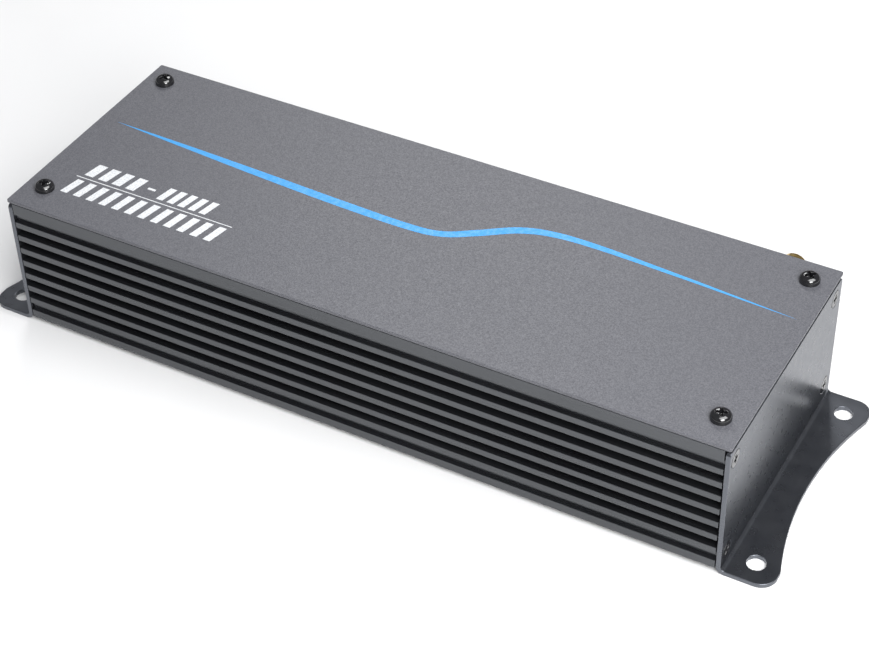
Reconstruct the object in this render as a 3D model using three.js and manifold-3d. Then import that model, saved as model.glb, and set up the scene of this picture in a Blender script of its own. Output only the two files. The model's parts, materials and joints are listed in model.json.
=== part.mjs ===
// Compact one-channel car amplifier. A finned aluminium extrusion forms the front wall and the
// floor. A folded bracket with a mounting flange closes each end, and a flat cover lies over both.
// The rear panel carries the connectors, and the circuit board stands inside on two rails.
// Millimetres, +Z up, fins towards -Y, connectors towards +Y. The origin is the centre of the
// outline on the plane that the flanges rest on.

import * as THREE from 'three';
import { mergeVertices } from 'three/addons/utils/BufferGeometryUtils.js';
import Module from 'manifold-3d';

const wasm = await Module();
wasm.setup();

// ---- Driving dimensions ----

// Overall.
const BODY_LENGTH = 258;            // over the outer faces of the end brackets
const BODY_DEPTH = 90;              // front of the fins to the rear edge of the cover
const BODY_HEIGHT = 51.7;           // mounting plane to the top of the cover
const REAR_REACH = 10;              // how far the input jacks stand out past the cover

// Clearances.
const GAP = 0.3;                    // between pieces that lie side by side
const SEAT = 0.05;                  // under what is screwed or soldered down
const SHAFT_PLAY = 0.15;            // round a turning shaft, on the radius
const SLIDE_PLAY = 0.3;             // round a sliding button, each side
const SCREW_PLAY = 0.4;             // round a screw in a clearance hole, on the radius
const THREAD_PLAY = 0.15;           // round a screw in its threaded hole, on the radius
const CUTOUT_PLAY = 0.4;            // round a connector in the rear panel, each side

// Extrusion: floor, front wall and fins.
const FLOOR_LIFT = 0.2;             // floor underside above the top face of the flanges
const FLOOR_SHEET = 2.5;
const FIN_DEPTH = 7;
const FIN_THICKNESS = 2.38;
const GROOVE_WIDTH = 3.05;
const BOTTOM_BAND = 3.1;            // plain band under the lowest groove
const MIN_TOP_BAND = 3.4;           // least plain band over the highest groove
const WALL_ROOT = 4;                // solid wall behind the grooves
const PORT_FROM_FRONT = 4.5;        // end-screw ports, in line with the first and last grooves
const PORT_WALL = 1.7;
const COVER_SLOT_DEPTH = 9;         // open slot along the wall top for the front cover screws
const COVER_SLOT_WALL = 2;
const COVER_SLOT_BASE = 2;

// Rails that carry the circuit board.
const RAIL_FROM_EDGE = 20;          // front rail from the front, rear rail from the rear
const RAIL_WIDTH = 6;
const RAIL_HEIGHT = 10;
const RAIL_SLOT_DEPTH = 8;

// End brackets.
const BRACKET_SHEET = 1.6;
const BEND_RADIUS = 1.4;            // inside the fold
const BRACKET_CORNER = 1.5;
const BRACKET_TOP_GAP = 0.9;        // open seam under the cover
const FLANGE_REACH = 16.2;          // from the bracket face to the outer edge of the lobes
const FLANGE_WAIST = 10.3;          // the same at mid-depth
const FLANGE_CORNER = 5.5;
const LOBE_LENGTH = 8;              // front or rear edge to where the waist begins
const MOUNT_HOLE_RADIUS = 3.1;
const MOUNT_HOLE_OUT = 8.4;         // from the bracket face
const MOUNT_HOLE_FROM_EDGE = 8;     // from the front or rear edge

// Cover and its screws.
const COVER_SHEET = 1.2;
const COVER_CORNER = 0.6;
const COVER_SCREW_FROM_END = 7.8;
const COVER_SCREW_FROM_FRONT = 10.7;
const COVER_SCREW_FROM_REAR = 9.1;

// Screws: head radius, head height, shank radius, length under the head or overall if flush.
const COVER_SCREW = { head: 3.3, height: 2.6, shank: 1.45, length: 9 };
const END_SCREW = { head: 3.1, height: 1.4, shank: 1.45, length: 9.5 };
const PANEL_SCREW = { head: 2.7, height: 1.9, shank: 1.3, length: 7 };
const BOARD_SCREW = { head: 2.7, height: 1.9, shank: 1.3, length: 7 };
const BAR_SCREW = { head: 2.7, height: 1.9, shank: 1.3, length: 9 };
// Their shape, as shares of the head radius, head height or shank radius.
const CROSS_RECESS = { reach: 0.58, half: 0.13, depth: 0.65, flushDepth: 0.6 };
const PAN_HEAD = { rim: 0.45, shoulder: 0.84, shoulderRadius: 0.86, crownRadius: 0.5 };
const FLUSH_RIM = 0.15;
const SHANK_TIP = { radius: 0.7, taper: 0.5 };

// Places of the rear end screws.
const REAR_SCREW_FROM_REAR = 5.2;   // rear end screws, in the posts
const REAR_SCREW_FROM_TOP = 7.3;
const REAR_SCREW_FROM_BASE = 8.3;

// Rear panel and the posts behind its ends.
const PANEL_SHEET = 1.2;
const PANEL_INSET = 1;              // cover edge to the panel face
const POST_WIDTH = 9.6;
const POST_DEPTH = 10.3;

// Circuit board and what stands on it.
const BOARD_SHEET = 1.6;
const BOARD_MARGIN = 1;
const BOARD_SCREW_FROM_END = 16;
const CONTROL_LIFT = 11;            // knob, switch and lamp centres above the board

// Input jacks, one over the other.
const JACK_FROM_END = 19;           // body end to the jack centres
const JACK_BLOCK_WIDTH = 12;
const JACK_BLOCK_DEPTH = 14;
const JACK_LIFT = 10;               // lower jack centre above the board
const JACK_PITCH = 15;
const JACK_HEADROOM = 5.5;          // upper jack centre to the block top
const JACK_RADIUS = 4.2;
const JACK_SHEET = 0.75;
const JACK_COLLAR = 1;              // collar beyond the shell radius
const JACK_PIN_RADIUS = 1.65;
const JACK_PIN_DEPTH = 8;
const JACK_NOSE_INSET = 2;          // shell mouth to the insulator face

// Remote level socket.
const SOCKET_WIDTH = 13.2;
const SOCKET_DEPTH = 14;
const SOCKET_HEIGHT = 13;
const SOCKET_MOUTH_WIDTH = 9.9;
const SOCKET_MOUTH_HEIGHT = 6.9;
const SOCKET_MOUTH_DEPTH = 11;
const SOCKET_MOUTH_LIFT = 4;
const SOCKET_NOTCH_WIDTH = 4;
const SOCKET_NOTCH_HEIGHT = 2;

// Rotary controls.
const POT_WIDTH = 10;
const POT_DEPTH = 8;
const POT_HEADROOM = 5;             // shaft centre to the top of the body
const POT_BORE_DEPTH = 6;
const SHAFT_RADIUS = 2;
const KNOB_RADIUS = 4.6;
const KNOB_LENGTH = 7;
const KNOB_CHAMFER = 0.6;
const KNOB_PANEL_GAP = 0.5;
const KNOB_MARK_WIDTH = 0.9;
const KNOB_MARK_DEPTH = 0.6;
const KNOB_FLUTES = 12;
const KNOB_FLUTE_RADIUS = 0.35;

// Slide switches.
const SWITCH_WIDTH = 13;
const SWITCH_DEPTH = 6;
const SWITCH_HEADROOM = 4;
const SWITCH_TRAVEL = 3;
const BUTTON_FOOT = { width: 5, depth: 2, height: 4.4 };
const BUTTON_STEM = { width: 3, height: 2.4, reach: 3 };

// Status lamps.
const LAMP_RADIUS = 1.5;
const LAMP_FLANGE = 0.4;
const LAMP_REACH = 0.8;             // straight part past the panel, under the dome
const LAMP_BODY_DEPTH = 4;
const DOME_SHOULDER = 0.7;          // dome breaks at this share of the lens radius
const LEAD_WIDTH = 0.6;
const LEAD_SPREAD = 2.54;
const LEAD_SETBACK = 3;

// Terminal blocks, counted in poles.
const POWER_POLES = { count: 3, pitch: 11, mouth: 8 };
const SPEAKER_POLES = { count: 2, pitch: 10, mouth: 7 };
const TERMINAL_SIDE_WALL = 1.5;
const TERMINAL_DEPTH_INSIDE = 8;    // block depth behind the panel
const TERMINAL_INSET = 0.8;         // jack mouths to the terminal faces
const TERMINAL_HEIGHT = 17;
const TERMINAL_MOUTH_LIFT = 3;
const TERMINAL_MOUTH_DEPTH = 14;
const CLAMP_FROM_FACE = 5.5;
const CLAMP_RADIUS = 2.1;
const CLAMP_SINK = 1;               // block top to the screw top
const CLAMP_TIP = 1.6;              // how far the tip stands into the mouth
const CLAMP_SLOT = { width: 0.8, depth: 1.2 };

// Blade fuse and its holder.
const FUSE_WIDTH = 19.1;
const FUSE_THICKNESS = 5.1;
const FUSE_LENGTH = 12;
const FUSE_SEATED = 4;              // length of the body inside the holder
const FUSE_RIM = 1.6;               // height of the pulling rim
const FUSE_WAIST = 0.7;             // how far the sides fall back under the rim
const BLADE = { width: 5.2, sheet: 0.7, length: 7, spread: 13.4 };
const HOLDER_WALL = 2;
const HOLDER_DEPTH_INSIDE = 12;
const HOLDER_REACH = 1.5;           // past the panel face

// Power components on the board.
const TRANSISTOR = { width: 15.5, thickness: 4.8, height: 18, headroom: 1.25 };
const TRANSISTOR_LEAD = { width: 1.2, sheet: 0.7, spread: 5.4 };
const BAR = { height: 8, sheet: 1.5, end: 12 };
const RING_SMALL = { outer: 12, inner: 5.5, height: 12, corner: 2 };
const RING_LARGE = { outer: 18, inner: 7.5, height: 19, corner: 3 };
const CAPACITOR = { radius: 9, height: 30, groove: 0.7, foot: 4 };

// Places along the length, from the middle of the body.
const REMOTE_SOCKET_X = 88;
const LEVEL_X = 66;
const CROSSOVER_X = 46;
const PHASE_SWITCH_X = 25;
const FILTER_SWITCH_X = 6;
const POWER_LAMP_X = -9;
const PROTECT_LAMP_X = -16;
const FUSE_X = -37;
const SPEAKER_X = -67;
const POWER_X = -98;
const TRANSISTOR_X = [-80, -45, 25, 60];
const BAR_SCREW_X = [-62.5, 42.5];
const RING_LARGE_X = -80;
const CAPACITOR_X = [-46, -24];
const RING_SMALL_X = 40;
const COMPONENT_ROW = 42;           // front face to the row of tall components

// Smoothness of round shapes, in segments.
const FINE = 24;
const ROUND = 20;
const COARSE = 12;

// ---- Planes that follow from the dimensions ----

const halfLength = BODY_LENGTH / 2;
const innerHalf = halfLength - BRACKET_SHEET - GAP;
const frontY = -(BODY_DEPTH + REAR_REACH) / 2;
const rearY = frontY + BODY_DEPTH;
const jackTipY = rearY + REAR_REACH;
const coverBottom = BODY_HEIGHT - COVER_SHEET;
const chassisTop = coverBottom - SEAT;
const bracketTop = coverBottom - BRACKET_TOP_GAP;
const chassisBottom = BRACKET_SHEET + FLOOR_LIFT;
const floorTop = chassisBottom + FLOOR_SHEET;
const wallInner = frontY + FIN_DEPTH + WALL_ROOT;
const panelOuter = rearY - PANEL_INSET;
const panelInner = panelOuter - PANEL_SHEET;
const insideRear = panelInner - GAP;
const postInner = innerHalf - POST_WIDTH;
const railTop = floorTop + RAIL_HEIGHT;
const boardBottom = railTop + SEAT;
const boardTop = boardBottom + BOARD_SHEET;
const partBase = boardTop + SEAT;
const controlZ = boardTop + CONTROL_LIFT;
const componentY = frontY + COMPONENT_ROW;
const jackX = halfLength - JACK_FROM_END;
const jackZ = [boardTop + JACK_LIFT, boardTop + JACK_LIFT + JACK_PITCH];
const railY = [frontY + RAIL_FROM_EDGE, rearY - RAIL_FROM_EDGE];
const coverScrewX = halfLength - COVER_SCREW_FROM_END;
const coverScrewY = [frontY + COVER_SCREW_FROM_FRONT, rearY - COVER_SCREW_FROM_REAR];
const boardHalf = postInner - BOARD_MARGIN;
const boardScrewX = boardHalf - BOARD_SCREW_FROM_END;
const postCentreX = innerHalf - POST_WIDTH / 2;
const panelScrewZ = (floorTop + chassisTop) / 2;
const ledgeBottom = chassisTop - COVER_SLOT_DEPTH - COVER_SLOT_BASE;
const transistorBase = ledgeBottom - TRANSISTOR.headroom - TRANSISTOR.height;
const barZ = transistorBase + TRANSISTOR.height / 2;
const barFrontY = wallInner + GAP + TRANSISTOR.thickness + GAP;
const barBackY = barFrontY + BAR.sheet;
const terminalFace = jackTipY - TERMINAL_INSET;

// The fin pattern counts up from the bottom band, and the top band takes what is left.
const finPitch = GROOVE_WIDTH + FIN_THICKNESS;
const patternHeight = chassisTop - chassisBottom - BOTTOM_BAND - MIN_TOP_BAND + FIN_THICKNESS;
const grooveCount = Math.floor(patternHeight / finPitch);
const grooveBottom = (index) => chassisBottom + BOTTOM_BAND + index * finPitch;
const grooveCentre = (index) => grooveBottom(index) + GROOVE_WIDTH / 2;

// The end screws of one bracket, as places on its face.
const endScrewPlaces = {
  front_top: [frontY + PORT_FROM_FRONT, grooveCentre(grooveCount - 1)],
  front_bottom: [frontY + PORT_FROM_FRONT, grooveCentre(0)],
  rear_top: [rearY - REAR_SCREW_FROM_REAR, BODY_HEIGHT - REAR_SCREW_FROM_TOP],
  rear_bottom: [rearY - REAR_SCREW_FROM_REAR, REAR_SCREW_FROM_BASE],
};

// ---- Shape helpers ----

// A box between two opposite corners.
function box(x0, x1, y0, y1, z0, z1) {
  const geometry = new THREE.BoxGeometry(x1 - x0, y1 - y0, z1 - z0);
  return geometry.translate((x0 + x1) / 2, (y0 + y1) / 2, (z0 + z1) / 2);
}

// An outline drawn in Y and Z, drawn out along X. An arc gets twice the curve segments.
function extrudeX(shape, x0, x1, curveSegments = ROUND / 4) {
  const geometry = new THREE.ExtrudeGeometry(shape, {
    depth: x1 - x0,
    bevelEnabled: false,
    curveSegments,
  });
  const turn = new THREE.Matrix4().makeBasis(
    new THREE.Vector3(0, 1, 0),
    new THREE.Vector3(0, 0, 1),
    new THREE.Vector3(1, 0, 0),
  );
  return geometry.applyMatrix4(turn).translate(x0, 0, 0);
}

// An outline drawn in X and Z, drawn out along Y.
function extrudeY(shape, y0, y1, curveSegments = ROUND / 4) {
  const geometry = new THREE.ExtrudeGeometry(shape, {
    depth: y1 - y0,
    bevelEnabled: false,
    curveSegments,
  });
  return geometry.rotateX(Math.PI / 2).translate(0, y1, 0);
}

// An outline drawn in X and Y, drawn up along Z.
function extrudeZ(shape, z0, z1, curveSegments = ROUND / 4) {
  const geometry = new THREE.ExtrudeGeometry(shape, {
    depth: z1 - z0,
    bevelEnabled: false,
    curveSegments,
  });
  return geometry.translate(0, 0, z0);
}

// A turned shape round Z, from [radius, height] pairs listed with the material on the left.
function turned(profile, segments = ROUND) {
  const points = profile.map(([radius, height]) => new THREE.Vector2(radius, height));
  return new THREE.LatheGeometry(points, segments).rotateX(Math.PI / 2);
}

// A plain cylinder along one axis, from start to end.
function rod(axis, radius, start, end, segments = ROUND) {
  const geometry = new THREE.CylinderGeometry(radius, radius, end - start, segments);
  geometry.translate(0, (start + end) / 2, 0);
  if (axis === 'x') geometry.rotateZ(-Math.PI / 2);
  if (axis === 'z') geometry.rotateX(Math.PI / 2);
  return geometry;
}

// A rectangle with rounded corners, as an outline.
function roundedRectangle(u0, u1, v0, v1, radius) {
  const shape = new THREE.Shape();
  const quarter = Math.PI / 2;
  shape.absarc(u1 - radius, v0 + radius, radius, -quarter, 0);
  shape.absarc(u1 - radius, v1 - radius, radius, 0, quarter);
  shape.absarc(u0 + radius, v1 - radius, radius, quarter, 2 * quarter);
  shape.absarc(u0 + radius, v0 + radius, radius, 2 * quarter, 3 * quarter);
  shape.closePath();
  return shape;
}

// A round hole for an outline that runs anticlockwise, or clockwise if so said.
function circlePath(u, v, radius, outlineClockwise = false) {
  return new THREE.Path().absarc(u, v, radius, 0, 2 * Math.PI, !outlineClockwise);
}

// ---- Joining and cutting ----

function toSolid(geometry) {
  const bare = geometry.clone();
  bare.deleteAttribute('normal');
  bare.deleteAttribute('uv');
  const merged = mergeVertices(bare, 1e-4);
  return new wasm.Manifold(new wasm.Mesh({
    numProp: 3,
    vertProperties: merged.attributes.position.array,
    triVerts: new Uint32Array(merged.index.array),
  }));
}

function fromSolid(solid) {
  const mesh = solid.getMesh();
  const geometry = new THREE.BufferGeometry();
  geometry.setAttribute('position', new THREE.BufferAttribute(mesh.vertProperties, 3));
  geometry.setIndex(new THREE.BufferAttribute(mesh.triVerts, 1));
  const facets = geometry.toNonIndexed();
  facets.computeVertexNormals();
  return facets;
}

function join(...geometries) {
  return fromSolid(geometries.map(toSolid).reduce((sum, solid) => sum.add(solid)));
}

function cut(geometry, ...tools) {
  return fromSolid(tools.map(toSolid).reduce((rest, tool) => rest.subtract(tool), toSolid(geometry)));
}

function common(...geometries) {
  return fromSolid(geometries.map(toSolid).reduce((sum, solid) => sum.intersect(solid)));
}

// A cut or joined shape on the other side of the middle plane, with its faces kept outward.
function mirroredX(geometry) {
  const mirror = geometry.clone().scale(-1, 1, 1);
  const positions = mirror.attributes.position;
  const corner = new THREE.Vector3();
  const other = new THREE.Vector3();
  for (let first = 0; first < positions.count; first += 3) {
    corner.fromBufferAttribute(positions, first + 1);
    other.fromBufferAttribute(positions, first + 2);
    positions.setXYZ(first + 1, other.x, other.y, other.z);
    positions.setXYZ(first + 2, corner.x, corner.y, corner.z);
  }
  mirror.computeVertexNormals();
  return mirror;
}

// ---- Materials ----

function material(color, roughness, metalness) {
  return new THREE.MeshStandardMaterial({ color, roughness, metalness });
}

const blackAnodised = () => material(0x33353a, 0.5, 0.6);
const greyPaint = () => material(0x55585f, 0.6, 0.3);
const blackPaint = () => material(0x26282c, 0.4, 0.3);
const blackOxide = () => material(0x101113, 0.25, 0.8);
const zinc = () => material(0xc9ccd0, 0.3, 0.9);
const castZinc = () => material(0x9a9da1, 0.5, 0.8);
const gold = () => material(0xc9a545, 0.25, 1);
const blackPlastic = () => material(0x17181a, 0.45, 0);
const whitePlastic = () => material(0xd9dadc, 0.4, 0);
const greenBoard = () => material(0x1f5a34, 0.5, 0.1);
const greenLens = () => material(0x3bd26a, 0.15, 0);
const redLens = () => material(0xd8342c, 0.15, 0);
const greenFuse = () => material(0x2fa45a, 0.2, 0);
const copper = () => material(0xa9572c, 0.35, 0.8);
const ferrite = () => material(0x3a3f46, 0.7, 0.2);
const sleeve = () => material(0x20242b, 0.35, 0.1);

// ---- Extrusion ----

// The wall and floor section, walked from the front of the floor up the fins and back down.
function chassisOutline() {
  const outline = new THREE.Shape();
  const portY = frontY + PORT_FROM_FRONT;
  const portRadius = END_SCREW.shank + THREAD_PLAY;
  const bossRadius = portRadius + PORT_WALL;
  const grooveY = frontY + FIN_DEPTH;
  const bulge = Math.asin(GROOVE_WIDTH / 2 / bossRadius);
  outline.moveTo(frontY, chassisBottom);
  for (let index = 0; index < grooveCount; index += 1) {
    const bottom = grooveBottom(index);
    const top = bottom + GROOVE_WIDTH;
    outline.lineTo(frontY, bottom);
    if (index === 0 || index === grooveCount - 1) {
      const centre = grooveCentre(index);
      outline.absarc(portY, centre, bossRadius, Math.PI + bulge, Math.PI - bulge, true);
    } else {
      outline.lineTo(grooveY, bottom);
      outline.lineTo(grooveY, top);
    }
    outline.lineTo(frontY, top);
  }
  outline.lineTo(frontY, chassisTop);

  const slotRadius = COVER_SCREW.shank + THREAD_PLAY;
  const slotY = coverScrewY[0];
  const slotBottom = chassisTop - COVER_SLOT_DEPTH;
  const ledgeY = slotY + slotRadius + COVER_SLOT_WALL;
  outline.lineTo(slotY - slotRadius, chassisTop);
  outline.lineTo(slotY - slotRadius, slotBottom);
  outline.lineTo(slotY + slotRadius, slotBottom);
  outline.lineTo(slotY + slotRadius, chassisTop);
  outline.lineTo(ledgeY, chassisTop);
  outline.lineTo(ledgeY, ledgeBottom);
  outline.lineTo(wallInner, ledgeBottom);
  outline.lineTo(wallInner, floorTop);

  const railSlot = BOARD_SCREW.shank + THREAD_PLAY;
  for (const centre of railY) {
    outline.lineTo(centre - RAIL_WIDTH / 2, floorTop);
    outline.lineTo(centre - RAIL_WIDTH / 2, railTop);
    outline.lineTo(centre - railSlot, railTop);
    outline.lineTo(centre - railSlot, railTop - RAIL_SLOT_DEPTH);
    outline.lineTo(centre + railSlot, railTop - RAIL_SLOT_DEPTH);
    outline.lineTo(centre + railSlot, railTop);
    outline.lineTo(centre + RAIL_WIDTH / 2, railTop);
    outline.lineTo(centre + RAIL_WIDTH / 2, floorTop);
  }
  outline.lineTo(insideRear, floorTop);
  outline.lineTo(insideRear, chassisBottom);
  outline.closePath();

  outline.holes.push(circlePath(portY, grooveCentre(0), portRadius, true));
  outline.holes.push(circlePath(portY, grooveCentre(grooveCount - 1), portRadius, true));
  return outline;
}

function chassis() {
  const blank = extrudeX(chassisOutline(), -innerHalf, innerHalf);
  const radius = BAR_SCREW.shank + THREAD_PLAY;
  const tip = barBackY - BAR_SCREW.length;
  const holes = BAR_SCREW_X.map((x) => rod('y', radius, tip - GAP, wallInner + 1)
    .translate(x, 0, barZ));
  return cut(blank, ...holes);
}

// ---- Cover, end brackets, rear panel and posts ----

function cover() {
  const outline = roundedRectangle(-halfLength, halfLength, frontY, rearY, COVER_CORNER);
  const radius = COVER_SCREW.shank + SCREW_PLAY;
  for (const y of coverScrewY) {
    outline.holes.push(circlePath(-coverScrewX, y, radius));
    outline.holes.push(circlePath(coverScrewX, y, radius));
  }
  return extrudeZ(outline, coverBottom, BODY_HEIGHT);
}

// The folded section of the right bracket: flange, bend and upright plate.
function bracketSection() {
  const section = new THREE.Shape();
  const inner = halfLength - BRACKET_SHEET;
  const outerRadius = BEND_RADIUS + BRACKET_SHEET;
  const centreX = inner + outerRadius;
  section.moveTo(halfLength + FLANGE_REACH, 0);
  section.lineTo(halfLength + FLANGE_REACH, BRACKET_SHEET);
  section.absarc(centreX, outerRadius, BEND_RADIUS, -Math.PI / 2, -Math.PI, true);
  section.lineTo(halfLength, bracketTop);
  section.lineTo(inner, bracketTop);
  section.absarc(centreX, outerRadius, outerRadius, Math.PI, 1.5 * Math.PI, false);
  section.closePath();
  return section;
}

// The flange seen from above: a rounded lobe at each corner and a long shallow waist between.
function bracketPlan() {
  const plan = new THREE.Shape();
  const inner = halfLength - BRACKET_SHEET;
  const outer = halfLength + FLANGE_REACH;
  const sag = FLANGE_REACH - FLANGE_WAIST;
  const halfChord = BODY_DEPTH / 2 - LOBE_LENGTH;
  const waistRadius = (halfChord ** 2 + sag ** 2) / (2 * sag);
  const sweep = Math.asin(halfChord / waistRadius);
  const middleY = frontY + BODY_DEPTH / 2;
  const cornerX = outer - FLANGE_CORNER;
  plan.moveTo(inner, frontY);
  plan.lineTo(cornerX, frontY);
  plan.absarc(cornerX, frontY + FLANGE_CORNER, FLANGE_CORNER, -Math.PI / 2, 0, false);
  const waistX = halfLength + FLANGE_WAIST + waistRadius;
  plan.absarc(waistX, middleY, waistRadius, Math.PI + sweep, Math.PI - sweep, true);
  plan.absarc(cornerX, rearY - FLANGE_CORNER, FLANGE_CORNER, 0, Math.PI / 2, false);
  plan.lineTo(inner, rearY);
  plan.closePath();
  for (const y of [frontY + MOUNT_HOLE_FROM_EDGE, rearY - MOUNT_HOLE_FROM_EDGE]) {
    plan.holes.push(circlePath(halfLength + MOUNT_HOLE_OUT, y, MOUNT_HOLE_RADIUS));
  }
  return plan;
}

// The upright plate seen from the end, with its top corners rounded.
function bracketFace() {
  const face = new THREE.Shape();
  face.moveTo(frontY, 0);
  face.lineTo(rearY, 0);
  face.absarc(rearY - BRACKET_CORNER, bracketTop - BRACKET_CORNER, BRACKET_CORNER, 0, Math.PI / 2);
  face.absarc(frontY + BRACKET_CORNER, bracketTop - BRACKET_CORNER, BRACKET_CORNER,
    Math.PI / 2, Math.PI);
  face.closePath();
  return face;
}

// The clearance cutter for one flush end screw, opening towards +X at the bracket face.
function countersink() {
  const shank = END_SCREW.shank + SCREW_PLAY;
  const head = END_SCREW.head + THREAD_PLAY;
  const cutter = turned([
    [0, -2 * BRACKET_SHEET],
    [shank, -2 * BRACKET_SHEET],
    [shank, -END_SCREW.height],
    [head, 0],
    [head, 1],
    [0, 1],
  ]);
  return cutter.rotateY(Math.PI / 2);
}

function rightBracket() {
  const reachX = halfLength + FLANGE_REACH;
  const sheet = common(
    extrudeY(bracketSection(), frontY, rearY),
    extrudeZ(bracketPlan(), -1, BODY_HEIGHT + 1, FINE / 3),
    extrudeX(bracketFace(), halfLength - 2 * BRACKET_SHEET, reachX + 1),
  );
  const holes = Object.values(endScrewPlaces)
    .map(([y, z]) => countersink().translate(halfLength, y, z));
  return cut(sheet, ...holes);
}

function rightPost() {
  const block = box(postInner, innerHalf, insideRear - POST_DEPTH, insideRear,
    floorTop + SEAT, chassisTop);
  const coverRadius = COVER_SCREW.shank + THREAD_PLAY;
  const endRadius = END_SCREW.shank + THREAD_PLAY;
  const panelRadius = PANEL_SCREW.shank + THREAD_PLAY;
  const coverHole = rod('z', coverRadius, chassisTop - COVER_SLOT_DEPTH, chassisTop + 1, COARSE)
    .translate(coverScrewX, coverScrewY[1], 0);
  const panelHole = rod('y', panelRadius, panelOuter - PANEL_SCREW.length - 1, insideRear + 1, COARSE)
    .translate(postCentreX, 0, panelScrewZ);
  const endHoles = [endScrewPlaces.rear_top, endScrewPlaces.rear_bottom]
    .map(([y, z]) => rod('x', endRadius, postInner - 1, innerHalf + 1, COARSE).translate(0, y, z));
  return cut(block, coverHole, panelHole, ...endHoles);
}

// A cutter for a rectangular hole in the panel round a connector, with clearance.
function cutout(x0, x1, z0, z1) {
  return box(x0 - CUTOUT_PLAY, x1 + CUTOUT_PLAY, panelInner - 1, panelOuter + 1,
    z0 - CUTOUT_PLAY, z1 + CUTOUT_PLAY);
}

// A cutter for a round hole in the panel.
function roundCutout(x, z, radius) {
  return rod('y', radius, panelInner - 1, panelOuter + 1).translate(x, 0, z);
}

function rearPanel() {
  const sheet = box(-innerHalf, innerHalf, panelInner, panelOuter, chassisBottom, chassisTop);
  const stemHalf = (BUTTON_STEM.width + SWITCH_TRAVEL) / 2;
  const stemRise = BUTTON_STEM.height / 2;
  const holderHalf = FUSE_WIDTH / 2 + HOLDER_WALL;
  const holderRise = FUSE_THICKNESS / 2 + HOLDER_WALL;
  return cut(
    sheet,
    ...jackZ.map((z) => roundCutout(jackX, z, JACK_RADIUS + CUTOUT_PLAY)),
    cutout(REMOTE_SOCKET_X - SOCKET_WIDTH / 2, REMOTE_SOCKET_X + SOCKET_WIDTH / 2,
      boardTop, boardTop + SOCKET_HEIGHT),
    ...[LEVEL_X, CROSSOVER_X].map((x) => roundCutout(x, controlZ, SHAFT_RADIUS + CUTOUT_PLAY)),
    ...[PHASE_SWITCH_X, FILTER_SWITCH_X].map((x) => cutout(x - stemHalf, x + stemHalf,
      controlZ - stemRise, controlZ + stemRise)),
    ...[POWER_LAMP_X, PROTECT_LAMP_X].map((x) => roundCutout(x, controlZ, LAMP_RADIUS + SHAFT_PLAY)),
    cutout(FUSE_X - holderHalf, FUSE_X + holderHalf, controlZ - holderRise, controlZ + holderRise),
    ...[[SPEAKER_X, SPEAKER_POLES], [POWER_X, POWER_POLES]].map(([x, poles]) => cutout(
      x - terminalHalf(poles), x + terminalHalf(poles), boardTop, boardTop + TERMINAL_HEIGHT)),
    ...[-postCentreX, postCentreX].map((x) => roundCutout(x, panelScrewZ,
      PANEL_SCREW.shank + SCREW_PLAY)),
  );
}

// ---- Screws ----

// The cross recess of a screw, sunk from the head top at the given height.
function crossRecess(headRadius, top, depth) {
  const reach = CROSS_RECESS.reach * headRadius;
  const half = CROSS_RECESS.half * headRadius;
  return [
    box(-reach, reach, -half, half, top - depth, top + 1),
    box(-half, half, -reach, reach, top - depth, top + 1),
  ];
}

// A pan-head screw standing along Z: the seat is at height 0 and the shank hangs below it.
function panScrew({ head, height, shank, length }) {
  const blank = turned([
    [0, -length],
    [SHANK_TIP.radius * shank, -length],
    [shank, SHANK_TIP.taper * shank - length],
    [shank, 0],
    [head, 0],
    [head, PAN_HEAD.rim * height],
    [PAN_HEAD.shoulderRadius * head, PAN_HEAD.shoulder * height],
    [PAN_HEAD.crownRadius * head, height],
    [0, height],
  ], COARSE);
  return cut(blank, ...crossRecess(head, height, CROSS_RECESS.depth * height));
}

// A countersunk screw along Z: the flat top is at height 0 and everything else is below it.
function flushScrew({ head, height, shank, length }) {
  const rim = FLUSH_RIM * height;
  const blank = turned([
    [0, -length],
    [SHANK_TIP.radius * shank, -length],
    [shank, SHANK_TIP.taper * shank - length],
    [shank, -height],
    [head - THREAD_PLAY, -rim],
    [head - THREAD_PLAY, 0],
    [0, 0],
  ], COARSE);
  return cut(blank, ...crossRecess(head, 0, CROSS_RECESS.flushDepth * height));
}

// A slotted set screw along Z, with its top at height 0.
function clampScrew(length) {
  const blank = rod('z', CLAMP_RADIUS, -length, 0, COARSE);
  const half = CLAMP_SLOT.width / 2;
  return cut(blank, box(-half, half, -2 * CLAMP_RADIUS, 2 * CLAMP_RADIUS, -CLAMP_SLOT.depth, 1));
}

// ---- Circuit board ----

function circuitBoard() {
  const outline = new THREE.Shape();
  outline.moveTo(-boardHalf, wallInner + BOARD_MARGIN);
  outline.lineTo(boardHalf, wallInner + BOARD_MARGIN);
  outline.lineTo(boardHalf, insideRear - SEAT);
  outline.lineTo(-boardHalf, insideRear - SEAT);
  outline.closePath();
  for (const y of railY) {
    outline.holes.push(circlePath(-boardScrewX, y, BOARD_SCREW.shank + SCREW_PLAY));
    outline.holes.push(circlePath(boardScrewX, y, BOARD_SCREW.shank + SCREW_PLAY));
  }
  return extrudeZ(outline, boardBottom, boardTop);
}

// ---- Connectors ----

// The moulded block that holds both input jacks, with an insulating nose inside each shell.
function jackBlock() {
  const half = JACK_BLOCK_WIDTH / 2;
  const noseRadius = JACK_RADIUS - JACK_SHEET - GAP;
  const noseEnd = jackTipY - JACK_NOSE_INSET;
  const top = jackZ[1] + JACK_HEADROOM;
  const body = box(jackX - half, jackX + half, insideRear - JACK_BLOCK_DEPTH, insideRear,
    partBase, top);
  const noses = jackZ.map((z) => rod('y', noseRadius, insideRear - 1, noseEnd)
    .translate(jackX, 0, z));
  const bores = jackZ.map((z) => rod('y', JACK_PIN_RADIUS, noseEnd - JACK_PIN_DEPTH, noseEnd + 1,
    COARSE).translate(jackX, 0, z));
  return cut(join(body, ...noses), ...bores);
}

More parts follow.
